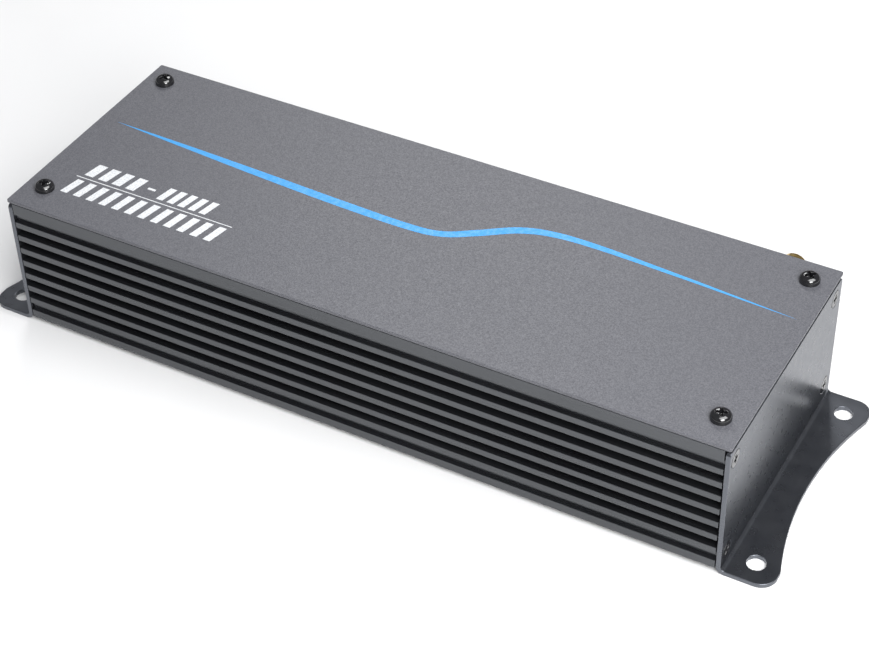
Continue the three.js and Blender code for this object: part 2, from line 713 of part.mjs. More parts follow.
// One gilt shell with a collar against the panel, turned round Z and laid along Y.
function jackShell() {
  const start = insideRear + SEAT;
  const collar = panelOuter + GAP;
  const inner = JACK_RADIUS - JACK_SHEET;
  const shell = turned([
    [inner, start],
    [JACK_RADIUS, start],
    [JACK_RADIUS, collar],
    [JACK_RADIUS + JACK_COLLAR, collar],
    [JACK_RADIUS + JACK_COLLAR, collar + JACK_COLLAR],
    [JACK_RADIUS, collar + JACK_COLLAR],
    [JACK_RADIUS, jackTipY - JACK_SHEET / 2],
    [JACK_RADIUS - JACK_SHEET / 2, jackTipY],
    [inner, jackTipY],
    [inner, start],
  ], FINE);
  return shell.rotateX(-Math.PI / 2);
}

function remoteSocket() {
  const half = SOCKET_WIDTH / 2;
  const mouth = SOCKET_MOUTH_WIDTH / 2;
  const notch = SOCKET_NOTCH_WIDTH / 2;
  const bottom = boardTop + SOCKET_MOUTH_LIFT;
  const back = panelOuter - SOCKET_MOUTH_DEPTH;
  const body = box(-half, half, panelOuter - SOCKET_DEPTH, panelOuter, partBase,
    boardTop + SOCKET_HEIGHT);
  const plugSpace = box(-mouth, mouth, back, panelOuter + 1, bottom, bottom + SOCKET_MOUTH_HEIGHT);
  const latchSpace = box(-notch, notch, back, panelOuter + 1, bottom - SOCKET_NOTCH_HEIGHT,
    bottom + 1);
  return cut(body, plugSpace, latchSpace);
}

function terminalHalf(poles) {
  return poles.count * poles.pitch / 2 + TERMINAL_SIDE_WALL;
}

// Pole centres of a terminal block, from its own middle.
function poleOffsets(poles) {
  return Array.from({ length: poles.count }, (_, index) => (index - (poles.count - 1) / 2)
    * poles.pitch);
}

// A moulded block with one square wire mouth and one clamp screw hole for each pole.
function terminalBlock(poles) {
  const half = terminalHalf(poles);
  const mouth = poles.mouth / 2;
  const bottom = boardTop + TERMINAL_MOUTH_LIFT;
  const top = boardTop + TERMINAL_HEIGHT;
  const body = box(-half, half, insideRear - TERMINAL_DEPTH_INSIDE, terminalFace, partBase, top);
  const tools = poleOffsets(poles).flatMap((x) => [
    box(x - mouth, x + mouth, terminalFace - TERMINAL_MOUTH_DEPTH, terminalFace + 1,
      bottom, bottom + poles.mouth),
    rod('z', CLAMP_RADIUS + THREAD_PLAY, bottom + poles.mouth - 1, top + 1)
      .translate(x, terminalFace - CLAMP_FROM_FACE, 0),
  ]);
  return cut(body, ...tools);
}

function clampLength(poles) {
  return TERMINAL_HEIGHT - CLAMP_SINK - TERMINAL_MOUTH_LIFT - poles.mouth + CLAMP_TIP;
}

// The fuse holder: a moulded block with a shallow seat and two blade slots.
function fuseHolder() {
  const face = panelOuter + HOLDER_REACH;
  const seatHalf = FUSE_WIDTH / 2 + GAP;
  const seatFloor = face - FUSE_SEATED - GAP;
  const body = box(-FUSE_WIDTH / 2 - HOLDER_WALL, FUSE_WIDTH / 2 + HOLDER_WALL,
    insideRear - HOLDER_DEPTH_INSIDE, face,
    partBase, controlZ + FUSE_THICKNESS / 2 + HOLDER_WALL);
  const neck = box(-FUSE_WIDTH, FUSE_WIDTH, panelInner - GAP, face + 1,
    partBase - 1, controlZ - FUSE_THICKNESS / 2 - HOLDER_WALL);
  const seat = box(-seatHalf, seatHalf, seatFloor, face + 1,
    controlZ - FUSE_THICKNESS / 2 - GAP, controlZ + FUSE_THICKNESS / 2 + GAP);
  const slots = [-1, 1].map((side) => box(
    side * BLADE.spread / 2 - BLADE.width / 2 - GAP, side * BLADE.spread / 2 + BLADE.width / 2 + GAP,
    seatFloor - BLADE.length - GAP, seatFloor + 1,
    controlZ - BLADE.sheet / 2 - GAP, controlZ + BLADE.sheet / 2 + GAP,
  ));
  return cut(body, neck, seat, ...slots);
}

// A blade fuse: a moulded body with a pulling rim and two flat blades.
function bladeFuse() {
  const root = panelOuter + HOLDER_REACH - FUSE_SEATED;
  const tip = root + FUSE_LENGTH;
  const body = box(-FUSE_WIDTH / 2 + FUSE_WAIST, FUSE_WIDTH / 2 - FUSE_WAIST, root, tip,
    controlZ - FUSE_THICKNESS / 2 + FUSE_WAIST, controlZ + FUSE_THICKNESS / 2 - FUSE_WAIST);
  const base = box(-FUSE_WIDTH / 2, FUSE_WIDTH / 2, root, root + FUSE_SEATED,
    controlZ - FUSE_THICKNESS / 2, controlZ + FUSE_THICKNESS / 2);
  const head = box(-FUSE_WIDTH / 2, FUSE_WIDTH / 2, tip - FUSE_RIM, tip,
    controlZ - FUSE_THICKNESS / 2, controlZ + FUSE_THICKNESS / 2);
  const blades = [-1, 1].map((side) => box(
    side * BLADE.spread / 2 - BLADE.width / 2, side * BLADE.spread / 2 + BLADE.width / 2,
    root - BLADE.length, root + 1,
    controlZ - BLADE.sheet / 2, controlZ + BLADE.sheet / 2,
  ));
  return join(body, base, head, ...blades);
}

// ---- Controls ----

function potBody() {
  const half = POT_WIDTH / 2;
  const body = box(-half, half, insideRear - POT_DEPTH, insideRear, partBase,
    controlZ + POT_HEADROOM);
  const bore = rod('y', SHAFT_RADIUS + SHAFT_PLAY, insideRear - POT_BORE_DEPTH, insideRear + 1, FINE)
    .translate(0, 0, controlZ);
  return cut(body, bore);
}

// A knob and its shaft on the origin: the knob points along +Y, with a mark towards +Z.
function knob() {
  const start = KNOB_PANEL_GAP;
  const end = start + KNOB_LENGTH;
  const shaftStart = insideRear - POT_BORE_DEPTH + GAP - panelOuter;
  const blank = turned([
    [0, shaftStart],
    [SHAFT_RADIUS, shaftStart],
    [SHAFT_RADIUS, start],
    [KNOB_RADIUS, start],
    [KNOB_RADIUS, end - KNOB_CHAMFER],
    [KNOB_RADIUS - KNOB_CHAMFER, end],
    [0, end],
  ], 2 * KNOB_FLUTES);
  const flutes = Array.from({ length: KNOB_FLUTES }, (_, index) => {
    const turn = 2 * Math.PI * (index + 0.5) / KNOB_FLUTES;
    return rod('z', KNOB_FLUTE_RADIUS, start + KNOB_CHAMFER, end + 1, 6)
      .translate(KNOB_RADIUS * Math.sin(turn), KNOB_RADIUS * Math.cos(turn), 0);
  });
  const half = KNOB_MARK_WIDTH / 2;
  const mark = box(-half, half, KNOB_RADIUS / 3, 2 * KNOB_RADIUS, end - KNOB_MARK_DEPTH, end + 1);
  const upright = cut(blank, ...flutes, mark.rotateZ(Math.PI));
  return upright.rotateX(-Math.PI / 2);
}

// A switch body with a pocket in which the foot of the button slides.
function switchBody() {
  const half = SWITCH_WIDTH / 2;
  const pocketHalf = (BUTTON_FOOT.width + SWITCH_TRAVEL) / 2 + SLIDE_PLAY;
  const pocketRise = BUTTON_FOOT.height / 2 + SLIDE_PLAY;
  const body = box(-half, half, insideRear - SWITCH_DEPTH, insideRear, partBase,
    controlZ + SWITCH_HEADROOM);
  const pocket = box(-pocketHalf, pocketHalf, insideRear - BUTTON_FOOT.depth - 2 * SLIDE_PLAY,
    insideRear + 1, controlZ - pocketRise, controlZ + pocketRise);
  return cut(body, pocket);
}

// The button, at the -X end of its travel: a retained foot and a stem through the panel.
function switchButton() {
  const centre = -SWITCH_TRAVEL / 2;
  const footFront = insideRear - SLIDE_PLAY;
  const foot = box(centre - BUTTON_FOOT.width / 2, centre + BUTTON_FOOT.width / 2,
    footFront - BUTTON_FOOT.depth, footFront,
    controlZ - BUTTON_FOOT.height / 2, controlZ + BUTTON_FOOT.height / 2);
  const stem = box(centre - BUTTON_STEM.width / 2, centre + BUTTON_STEM.width / 2,
    footFront - 1, panelOuter + BUTTON_STEM.reach,
    controlZ - BUTTON_STEM.height / 2, controlZ + BUTTON_STEM.height / 2);
  return join(foot, stem);
}

// A lamp: domed lens, inner flange, and two leads bent down to the board.
function lamp() {
  const flangeY = panelInner - GAP;
  const lens = turned([
    [0, flangeY - LAMP_BODY_DEPTH],
    [LAMP_RADIUS + LAMP_FLANGE, flangeY - LAMP_BODY_DEPTH],
    [LAMP_RADIUS + LAMP_FLANGE, flangeY],
    [LAMP_RADIUS, flangeY],
    [LAMP_RADIUS, panelOuter + LAMP_REACH],
    [DOME_SHOULDER * LAMP_RADIUS, panelOuter + LAMP_REACH + DOME_SHOULDER * LAMP_RADIUS],
    [0, panelOuter + LAMP_REACH + LAMP_RADIUS],
  ], COARSE).rotateX(-Math.PI / 2).translate(0, 0, controlZ);
  const bendY = flangeY - LAMP_BODY_DEPTH - LEAD_SETBACK;
  const half = LEAD_WIDTH / 2;
  const leads = [-1, 1].flatMap((side) => {
    const x = side * (LEAD_SPREAD / 2 - half);
    return [
      box(x - half, x + half, bendY, flangeY - LAMP_BODY_DEPTH + 1, controlZ - half, controlZ + half),
      box(x - half, x + half, bendY, bendY + LEAD_WIDTH, partBase, controlZ + half),
    ];
  });
  return join(lens, ...leads);
}

// ---- Power components ----

// A flat-pack transistor standing against the wall, with three leads down to the board.
function transistor() {
  const half = TRANSISTOR.width / 2;
  const nearY = wallInner + GAP;
  const body = box(-half, half, nearY, nearY + TRANSISTOR.thickness, transistorBase,
    transistorBase + TRANSISTOR.height);
  const leadY = nearY + TRANSISTOR.thickness / 2;
  const leads = [-1, 0, 1].map((place) => box(
    place * TRANSISTOR_LEAD.spread - TRANSISTOR_LEAD.width / 2,
    place * TRANSISTOR_LEAD.spread + TRANSISTOR_LEAD.width / 2,
    leadY - TRANSISTOR_LEAD.sheet / 2, leadY + TRANSISTOR_LEAD.sheet / 2,
    partBase, transistorBase + 1,
  ));
  return join(body, ...leads);
}

// The bar that presses all the transistors against the wall.
function clampBar() {
  const start = TRANSISTOR_X[0] - BAR.end;
  const end = TRANSISTOR_X[TRANSISTOR_X.length - 1] + BAR.end;
  const bar = box(start, end, barFrontY, barBackY, barZ - BAR.height / 2, barZ + BAR.height / 2);
  const holes = BAR_SCREW_X.map((x) => rod('y', BAR_SCREW.shank + SCREW_PLAY, barFrontY - 1,
    barBackY + 1, COARSE).translate(x, 0, barZ));
  return cut(bar, ...holes);
}

// A wound ring lying on the board.
function woundRing({ outer, inner, height, corner }) {
  const base = partBase;
  return turned([
    [inner, base + corner],
    [inner + corner, base],
    [outer - corner, base],
    [outer, base + corner],
    [outer, base + height - corner],
    [outer - corner, base + height],
    [inner + corner, base + height],
    [inner, base + height - corner],
    [inner, base + corner],
  ], FINE);
}

// A can capacitor standing on the board, with the crimp groove near its foot.
function capacitor() {
  const { radius, height, groove, foot } = CAPACITOR;
  const base = partBase;
  return turned([
    [0, base],
    [radius - groove, base],
    [radius, base + groove],
    [radius, base + foot - groove],
    [radius - groove, base + foot],
    [radius, base + foot + groove],
    [radius, base + height - groove],
    [radius - groove, base + height],
    [0, base + height],
  ], FINE);
}

// ---- Assembly ----

const amplifier = new THREE.Group();

function place(name, geometry, surface, x = 0, y = 0, z = 0) {
  const mesh = new THREE.Mesh(geometry, surface);
  mesh.name = name;
  mesh.position.set(x, y, z);
  amplifier.add(mesh);
  return mesh;
}

place('chassis', chassis(), blackAnodised());
place('top_cover', cover(), greyPaint());
place('right_end_bracket', rightBracket(), blackPaint());
place('left_end_bracket', mirroredX(rightBracket()), blackPaint());
place('rear_panel', rearPanel(), blackPaint());
place('right_rear_post', rightPost(), castZinc());
place('left_rear_post', mirroredX(rightPost()), castZinc());

for (const [side, sign] of [['left', -1], ['right', 1]]) {
  place(`cover_screw_${side}_front`, panScrew(COVER_SCREW), blackOxide(),
    sign * coverScrewX, coverScrewY[0], BODY_HEIGHT + SEAT);
  place(`cover_screw_${side}_rear`, panScrew(COVER_SCREW), blackOxide(),
    sign * coverScrewX, coverScrewY[1], BODY_HEIGHT + SEAT);
  for (const [corner, [y, z]] of Object.entries(endScrewPlaces)) {
    place(`end_screw_${side}_${corner}`, flushScrew(END_SCREW), blackOxide(),
      sign * halfLength, y, z).rotation.y = sign * Math.PI / 2;
  }
  place(`panel_screw_${side}`, panScrew(PANEL_SCREW), blackOxide(),
    sign * postCentreX, panelOuter + SEAT, panelScrewZ).rotation.x = -Math.PI / 2;
  place(`board_screw_${side}_front`, panScrew(BOARD_SCREW), zinc(),
    sign * boardScrewX, railY[0], partBase);
  place(`board_screw_${side}_rear`, panScrew(BOARD_SCREW), zinc(),
    sign * boardScrewX, railY[1], partBase);
}

place('circuit_board', circuitBoard(), greenBoard());

place('input_jack_block', jackBlock(), blackPlastic());
place('input_jack_shell_lower', jackShell(), gold(), jackX, 0, jackZ[0]);
place('input_jack_shell_upper', jackShell(), gold(), jackX, 0, jackZ[1]);
place('remote_level_socket', remoteSocket(), blackPlastic(), REMOTE_SOCKET_X);

for (const [name, x] of [['level', LEVEL_X], ['crossover', CROSSOVER_X]]) {
  place(`${name}_control_body`, potBody(), castZinc(), x);
  place(`${name}_knob`, knob(), blackPlastic(), x, panelOuter, controlZ);
}

for (const [name, x] of [['phase', PHASE_SWITCH_X], ['filter', FILTER_SWITCH_X]]) {
  place(`${name}_switch_body`, switchBody(), castZinc(), x);
  place(`${name}_switch_button`, switchButton(), whitePlastic(), x);
}

place('power_lamp', lamp(), greenLens(), POWER_LAMP_X);
place('protect_lamp', lamp(), redLens(), PROTECT_LAMP_X);
place('fuse_holder', fuseHolder(), blackPlastic(), FUSE_X);
place('blade_fuse', bladeFuse(), greenFuse(), FUSE_X);

for (const [name, x, poles] of [['speaker', SPEAKER_X, SPEAKER_POLES],
  ['power', POWER_X, POWER_POLES]]) {
  place(`${name}_terminal_block`, terminalBlock(poles), blackPlastic(), x);
  poleOffsets(poles).forEach((offset, index) => {
    place(`${name}_clamp_screw_${index + 1}`, clampScrew(clampLength(poles)), zinc(),
      x + offset, terminalFace - CLAMP_FROM_FACE, boardTop + TERMINAL_HEIGHT - CLAMP_SINK);
  });
}

TRANSISTOR_X.forEach((x, index) => {
  place(`power_transistor_${index + 1}`, transistor(), blackPlastic(), x);
});
place('transistor_clamp_bar', clampBar(), zinc());
BAR_SCREW_X.forEach((x, index) => {
  place(`clamp_bar_screw_${index + 1}`, panScrew(BAR_SCREW), zinc(), x, barBackY + SEAT, barZ)
    .rotation.x = -Math.PI / 2;
});
place('supply_transformer', woundRing(RING_LARGE), copper(), RING_LARGE_X, componentY);
CAPACITOR_X.forEach((x, index) => {
  place(`filter_capacitor_${index + 1}`, capacitor(), sleeve(), x, componentY);
});
place('output_inductor', woundRing(RING_SMALL), ferrite(), RING_SMALL_X, componentY);

export default amplifier;
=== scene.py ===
import json
import math
import random

import bmesh
import bpy
from mathutils import Matrix, Vector


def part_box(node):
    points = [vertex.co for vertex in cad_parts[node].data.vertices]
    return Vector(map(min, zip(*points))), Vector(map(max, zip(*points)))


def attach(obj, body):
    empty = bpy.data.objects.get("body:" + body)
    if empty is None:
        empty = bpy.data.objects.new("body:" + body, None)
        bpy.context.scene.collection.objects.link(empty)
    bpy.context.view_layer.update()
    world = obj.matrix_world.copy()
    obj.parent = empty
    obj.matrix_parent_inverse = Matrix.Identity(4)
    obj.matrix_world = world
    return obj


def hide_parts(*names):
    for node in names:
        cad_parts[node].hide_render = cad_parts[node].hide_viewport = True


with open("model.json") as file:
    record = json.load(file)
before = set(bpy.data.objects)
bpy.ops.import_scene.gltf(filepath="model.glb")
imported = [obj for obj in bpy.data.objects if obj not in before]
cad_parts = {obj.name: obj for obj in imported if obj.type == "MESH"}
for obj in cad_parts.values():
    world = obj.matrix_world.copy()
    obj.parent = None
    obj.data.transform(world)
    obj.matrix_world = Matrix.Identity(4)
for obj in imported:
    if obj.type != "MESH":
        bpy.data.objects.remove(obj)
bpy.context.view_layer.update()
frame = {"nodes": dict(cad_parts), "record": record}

# ---- Table, lamps and camera ----
# The amplifier lies on a white table top under one large soft box, with weaker boxes behind and
# in front and a pale room round it. The camera looks down from the right of the front.


def new_finish(name):
    finish = bpy.data.materials.new(name)
    finish.use_nodes = True
    return finish, finish.node_tree, finish.node_tree.nodes["Principled BSDF"]


def add_node(tree, kind, inputs=None, **settings):
    node = tree.nodes.new(kind)
    for key, value in settings.items():
        setattr(node, key, value)
    for key, value in (inputs or {}).items():
        node.inputs[key].default_value = value
    return node


def mottle(tree, per_metre, detail=2.0, stretch=(1, 1, 1)):
    """Soft patches fixed to the piece, about per_metre of them to the metre."""
    place = add_node(tree, "ShaderNodeTexCoord")
    squeeze = add_node(tree, "ShaderNodeMapping", {"Scale": stretch})
    patches = add_node(tree, "ShaderNodeTexNoise", {"Scale": per_metre, "Detail": detail})
    tree.links.new(place.outputs["Object"], squeeze.inputs["Vector"])
    tree.links.new(squeeze.outputs["Vector"], patches.inputs["Vector"])
    return patches.outputs[0]


PATCH_START, PATCH_END = 0.35, 0.65     # the part of its range that soft noise fills


def between(tree, patches, low, high):
    """A number that runs from low to high with the patches."""
    span = add_node(tree, "ShaderNodeMapRange", {
        "From Min": PATCH_START, "From Max": PATCH_END, "To Min": low, "To Max": high})
    tree.links.new(patches, span.inputs["Value"])
    return span.outputs["Result"]


def tint(tree, patches, dark, light, start=PATCH_START, end=PATCH_END):
    """A colour that runs from dark to light with the patches."""
    ramp = add_node(tree, "ShaderNodeValToRGB")
    ramp.color_ramp.elements[0].position = start
    ramp.color_ramp.elements[0].color = (*dark, 1)
    ramp.color_ramp.elements[1].position = end
    ramp.color_ramp.elements[1].color = (*light, 1)
    tree.links.new(patches, ramp.inputs["Fac"])
    return ramp.outputs["Color"]


def relief(tree, shader, patches, height, strength=1.0):
    """Raises the surface by up to height metres, on top of any relief it has already."""
    bump = add_node(tree, "ShaderNodeBump", {"Strength": strength, "Distance": height})
    tree.links.new(patches, bump.inputs["Height"])
    if shader.inputs["Normal"].is_linked:
        tree.links.new(shader.inputs["Normal"].links[0].from_socket, bump.inputs["Normal"])
    tree.links.new(bump.outputs["Normal"], shader.inputs["Normal"])


def keep_in_scene(name, data):
    piece = bpy.data.objects.new(name, data)
    bpy.context.scene.collection.objects.link(piece)
    return piece


table_white, tree, shader = new_finish("table_white")
tree.links.new(tint(tree, mottle(tree, 3, 3), (0.80, 0.80, 0.805), (0.85, 0.85, 0.85)),
    shader.inputs["Base Color"])
tree.links.new(between(tree, mottle(tree, 40, 3), 0.42, 0.55), shader.inputs["Roughness"])
relief(tree, shader, mottle(tree, 900, 2), 0.00001, 0.4)

TABLE_HALF = 3.0
work = bmesh.new()
bmesh.ops.create_grid(work, x_segments=24, y_segments=24, size=TABLE_HALF)
table_mesh = bpy.data.meshes.new("table_top")
work.to_mesh(table_mesh)
work.free()
table_mesh.materials.append(table_white)
keep_in_scene("table_top", table_mesh)

ROOM_BRIGHTNESS = 0.20
room = bpy.data.worlds.new("pale_room")
room.use_nodes = True
room.node_tree.nodes["Background"].inputs["Color"].default_value = (0.93, 0.95, 1.0, 1)
room.node_tree.nodes["Background"].inputs["Strength"].default_value = ROOM_BRIGHTNESS
bpy.context.scene.world = room


def soft_box(name, place, aim, width, height, watts):
    lamp = bpy.data.lights.new(name, "AREA")
    lamp.shape = "RECTANGLE"
    lamp.size = width
    lamp.size_y = height
    lamp.energy = watts
    box = keep_in_scene(name, lamp)
    box.location = place
    box.rotation_euler = (Vector(aim) - Vector(place)).to_track_quat("-Z", "Y").to_euler()
    return box


soft_box("overhead_box", (0.55, -0.20, 1.15), (0.0, 0.0, 0.0), width=1.2, height=0.9, watts=18.5)
soft_box("back_box", (-0.44, 0.83, 0.88), (0.03, -0.03, 0.05), width=0.45, height=0.35, watts=3.4)
soft_box("front_box", (0.46, -0.44, 0.44), (0.15, -0.12, 0.0), width=0.36, height=0.3, watts=4.2)
bpy.context.scene.view_settings.view_transform = "Standard"

CAMERA_PLACE = Vector((0.2675, -0.4546, 0.4609))
CAMERA_SWING = math.radians(30.09)      # of the view, from straight ahead towards the left
CAMERA_TILT = math.radians(40.59)       # down
CAMERA_ROLL = math.radians(1.82)
level_right = Vector((math.cos(CAMERA_SWING), math.sin(CAMERA_SWING), 0))
ahead = Vector((-math.sin(CAMERA_SWING) * math.cos(CAMERA_TILT),
    math.cos(CAMERA_SWING) * math.cos(CAMERA_TILT), -math.sin(CAMERA_TILT)))
level_up = level_right.cross(ahead)
view_right = math.cos(CAMERA_ROLL) * level_right - math.sin(CAMERA_ROLL) * level_up
view_up = math.cos(CAMERA_ROLL) * level_up + math.sin(CAMERA_ROLL) * level_right
lens = bpy.data.cameras.new("camera")
lens.lens = 85.54
lens.sensor_width = 36
camera = keep_in_scene("camera", lens)
camera.matrix_world = (Matrix.Translation(CAMERA_PLACE)
    @ Matrix((view_right, view_up, -ahead)).transposed().to_4x4())
bpy.context.scene.camera = camera

# ---- Extrusion ----
# One aluminium profile makes the floor, the front wall with its fins, and the two board rails.
# It is sawn to length, deburred and anodised black, and keeps fine die lines along its length.


def body_of(node):
    return next(b for b, names in frame["record"]["behaviour"]["bodies"].items() if node in names)


def fitted(piece, slot, *nodes, body=None):
    """Ties a finished piece to the CAD pieces that it stands for."""
    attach(piece, body or body_of(nodes[0]))
    if nodes:
        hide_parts(*nodes)
    return piece


def break_edges(piece, width, segments=2):
    """Rounds off the sharp edges of a finished piece."""
    corners = piece.modifiers.new("broken_edges", "BEVEL")
    corners.width = width
    corners.segments = segments
    corners.limit_method = "ANGLE"
    corners.angle_limit = math.radians(35)
    corners.use_clamp_overlap = False
    corners.harden_normals = True


def join_facets(work, reach):
    """Merges points closer than reach, and the facets of one flat face."""
    bmesh.ops.remove_doubles(work, verts=work.verts[:], dist=reach)
    bmesh.ops.dissolve_limit(work, angle_limit=math.radians(1), verts=work.verts[:],
        edges=work.edges[:])


def eased(node, name, slot, finishes, edge, finish_of=None, segments=2):
    """The CAD piece with its facets joined into whole faces and its edges broken."""
    mesh = frame["nodes"][node].data.copy()
    for layer in ("custom_normal", "sharp_edge", "sharp_face"):
        if layer in mesh.attributes:
            mesh.attributes.remove(mesh.attributes[layer])
    work = bmesh.new()
    work.from_mesh(mesh)
    join_facets(work, 2e-6)
    for face in work.faces:
        face.smooth = True
        face.material_index = finish_of(face.calc_center_median()) if finish_of else 0
    work.to_mesh(mesh)
    work.free()
    mesh.materials.clear()
    for finish in finishes:
        mesh.materials.append(finish)
    piece = keep_in_scene(name, mesh)
    break_edges(piece, edge, segments)
    return fitted(piece, slot, node)


anodised_black, tree, shader = new_finish("anodised_black")
die_lines = mottle(tree, 900, 3, (0.012, 1, 1))
tree.links.new(tint(tree, mottle(tree, 60, 4, (0.3, 1, 1)), (0.0075, 0.0078, 0.0090),
    (0.0115, 0.0120, 0.0135)), shader.inputs["Base Color"])
tree.links.new(between(tree, die_lines, 0.26, 0.38), shader.inputs["Roughness"])
shader.inputs["IOR"].default_value = 1.85
shader.inputs["Specular Tint"].default_value = (0.90, 0.94, 1.0, 1)
relief(tree, shader, die_lines, 0.000006)
relief(tree, shader, mottle(tree, 5200, 2), 0.000004)

eased("chassis", "extrusion", "extrusion", [anodised_black], 0.00016)

# ---- Cover ----
# A flat steel sheet with a dark grey, finely grained powder coat closes the top. A tapered blue
# line and two rows of plain white marks are screen printed on it.

cover_grey, tree, shader = new_finish("cover_grey")
grain = mottle(tree, 2600, 3)
tree.links.new(tint(tree, grain, (0.077, 0.078, 0.090), (0.128, 0.130, 0.146), 0.36, 0.64),
    shader.inputs["Base Color"])
tree.links.new(between(tree, mottle(tree, 1500, 2), 0.40, 0.50), shader.inputs["Roughness"])
relief(tree, shader, grain, 0.00005, 0.8)
relief(tree, shader, mottle(tree, 420, 2), 0.00003, 0.5)
eased("top_cover", "cover_sheet", "cover_coating", [cover_grey], 0.00022, segments=3)

INK_TOP = 0.00003
INK_FOOT = -INK_TOP / 3


def printed(name, slot, patches, place, ink):
    """Thin flat patches of ink. place turns (across, up, out of the sheet) into a point."""
    work = bmesh.new()
    corners = {(point, w): work.verts.new(place(*point, w))
        for patch in patches for point in patch for w in (INK_FOOT, INK_TOP)}
    sides = [side for patch in patches for side in zip(patch, patch[1:] + patch[:1])]
    for patch in patches:
        work.faces.new([corners[point, INK_TOP] for point in patch])
        work.faces.new([corners[point, INK_FOOT] for point in patch[::-1]])
    for a, b in sides:
        if sides.count((a, b)) + sides.count((b, a)) == 1:      # not between two patches
            work.faces.new((corners[a, INK_FOOT], corners[b, INK_FOOT], corners[b, INK_TOP],
                corners[a, INK_TOP]))
    bmesh.ops.recalc_face_normals(work, faces=work.faces[:])
    mesh = bpy.data.meshes.new(name)
    work.to_mesh(mesh)
    work.free()
    mesh.materials.append(ink)
    return fitted(keep_in_scene(name, mesh), slot, body="amplifier")


def new_ink(name, dark, light):
    ink, tree, shader = new_finish(name)
    tree.links.new(tint(tree, mottle(tree, 1800, 3), dark, light), shader.inputs["Base Color"])
    tree.links.new(between(tree, mottle(tree, 700, 2), 0.35, 0.5), shader.inputs["Roughness"])
    relief(tree, shader, mottle(tree, 2600, 3), 0.00003, 0.6)
    return ink


blue_ink = new_ink("blue_ink", (0.032, 0.27, 0.62), (0.045, 0.33, 0.72))
white_ink = new_ink("white_ink", (0.55, 0.57, 0.60), (0.78, 0.79, 0.80))
cover_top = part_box("top_cover")[1].z


def on_cover(u, v, w):
    return (u, v, cover_top + w)


# The blue line's middle as (along, across, half width), in millimetres.
LINE_POINTS = [(-122, 3.4, 0.0), (-92, 1.9, 0.9), (-60, 0.1, 1.5), (-29, -1.5, 1.65),
    (-4, -2.1, 1.5), (8, -0.6, 1.45), (18, 5.0, 1.6), (29, 12.2, 1.6), (40, 15.5, 1.4),
    (56, 16.1, 1.15), (84, 14.6, 0.7), (106, 13.1, 0.36), (124.5, 11.8, 0.0)]
LINE_STEPS = 10


def smooth_through(points, steps):
    """Points on one smooth curve through the given ones."""
    ends = [points[0]] + points + [points[-1]]
    curve = []
    for a, b, c, d in zip(ends, ends[1:], ends[2:], ends[3:]):
        for step in range(steps):
            t = step / steps
            curve.append(tuple(0.5 * (2 * q + (r - p) * t + (2 * p - 5 * q + 4 * r - s) * t * t
                + (3 * q - p - 3 * r + s) * t ** 3) for p, q, r, s in zip(a, b, c, d)))
    return curve + [points[-1]]


line = smooth_through(LINE_POINTS, LINE_STEPS)
sides = ([], [])
for i, (x, y, half) in enumerate(line):
    before, after = line[max(i - 1, 0)], line[min(i + 1, len(line) - 1)]
    run = Vector((after[0] - before[0], after[1] - before[1])).normalized()
    for side, sign in zip(sides, (1, -1)):
        side.append(((x - sign * run.y * half) / 1000, (y + sign * run.x * half) / 1000))
patches = [(sides[1][i], sides[1][i + 1], sides[0][i + 1], sides[0][i])
    for i in range(1, len(line) - 2)]
patches += [(line_end, sides[0][i], sides[1][i]) for line_end, i in
    (((line[0][0] / 1000, line[0][1] / 1000), 1),
     ((line[-1][0] / 1000, line[-1][1] / 1000), len(line) - 2))]
printed("blue_line", "cover_coating", patches, on_cover, blue_ink)


def bar_row(start, end, low, high, count, share, slant):
    """A row of equal upright bars, each leaning by slant. share is bar to pitch."""
    pitch = (end - start) / count
    return [((x, low), (x + share * pitch, low), (x + share * pitch + slant, high),
        (x + slant, high)) for x in (start + i * pitch for i in range(count))]


MARKS_START, MARKS_END = -0.116, -0.054
UPPER_LOW, UPPER_HIGH, UPPER_SLANT = -0.027, -0.020, 0.0014
patches = bar_row(MARKS_START, MARKS_END, -0.038, -0.030, 12, share=0.52, slant=0.0016)
patches += bar_row(-0.114, -0.092, UPPER_LOW, UPPER_HIGH, 4, share=0.62, slant=UPPER_SLANT)
patches += bar_row(-0.0905, -0.0875, -0.0240, -0.0230, 1, share=1.0, slant=0.0)
patches += bar_row(-0.085, -0.064, UPPER_LOW, UPPER_HIGH, 5, share=0.60, slant=UPPER_SLANT)
patches += bar_row(MARKS_START, MARKS_END, -0.02875, -0.02840, 1, share=1.0, slant=0.0)
printed("cover_marks", "cover_coating", patches, on_cover, white_ink)

# ---- End brackets ----
# Each end is closed by a steel plate folded out at its foot into a mounting flange with two
# holes. The plates are punched, countersunk, bent and coated satin black.

bracket_black, tree, shader = new_finish("bracket_black")
tree.links.new(tint(tree, mottle(tree, 160, 4), (0.010, 0.0105, 0.012), (0.016, 0.0165, 0.018)),
    shader.inputs["Base Color"])
tree.links.new(between(tree, mottle(tree, 350, 3), 0.27, 0.31), shader.inputs["Roughness"])
shader.inputs["IOR"].default_value = 2.2
shader.inputs["Specular Tint"].default_value = (0.84, 0.89, 1.0, 1)
relief(tree, shader, mottle(tree, 1400, 2), 0.0000005, 0.25)
for side in ("left", "right"):
    eased(f"{side}_end_bracket", f"{side}_bracket_plate", "bracket_coating", [bracket_black],
        0.00022, segments=3)

# ---- Cover screws ----
# Four cross-recess pan-head screws, black and glossy, hold the cover: the front two bite in the
# slot along the wall and the rear two in the corner posts.


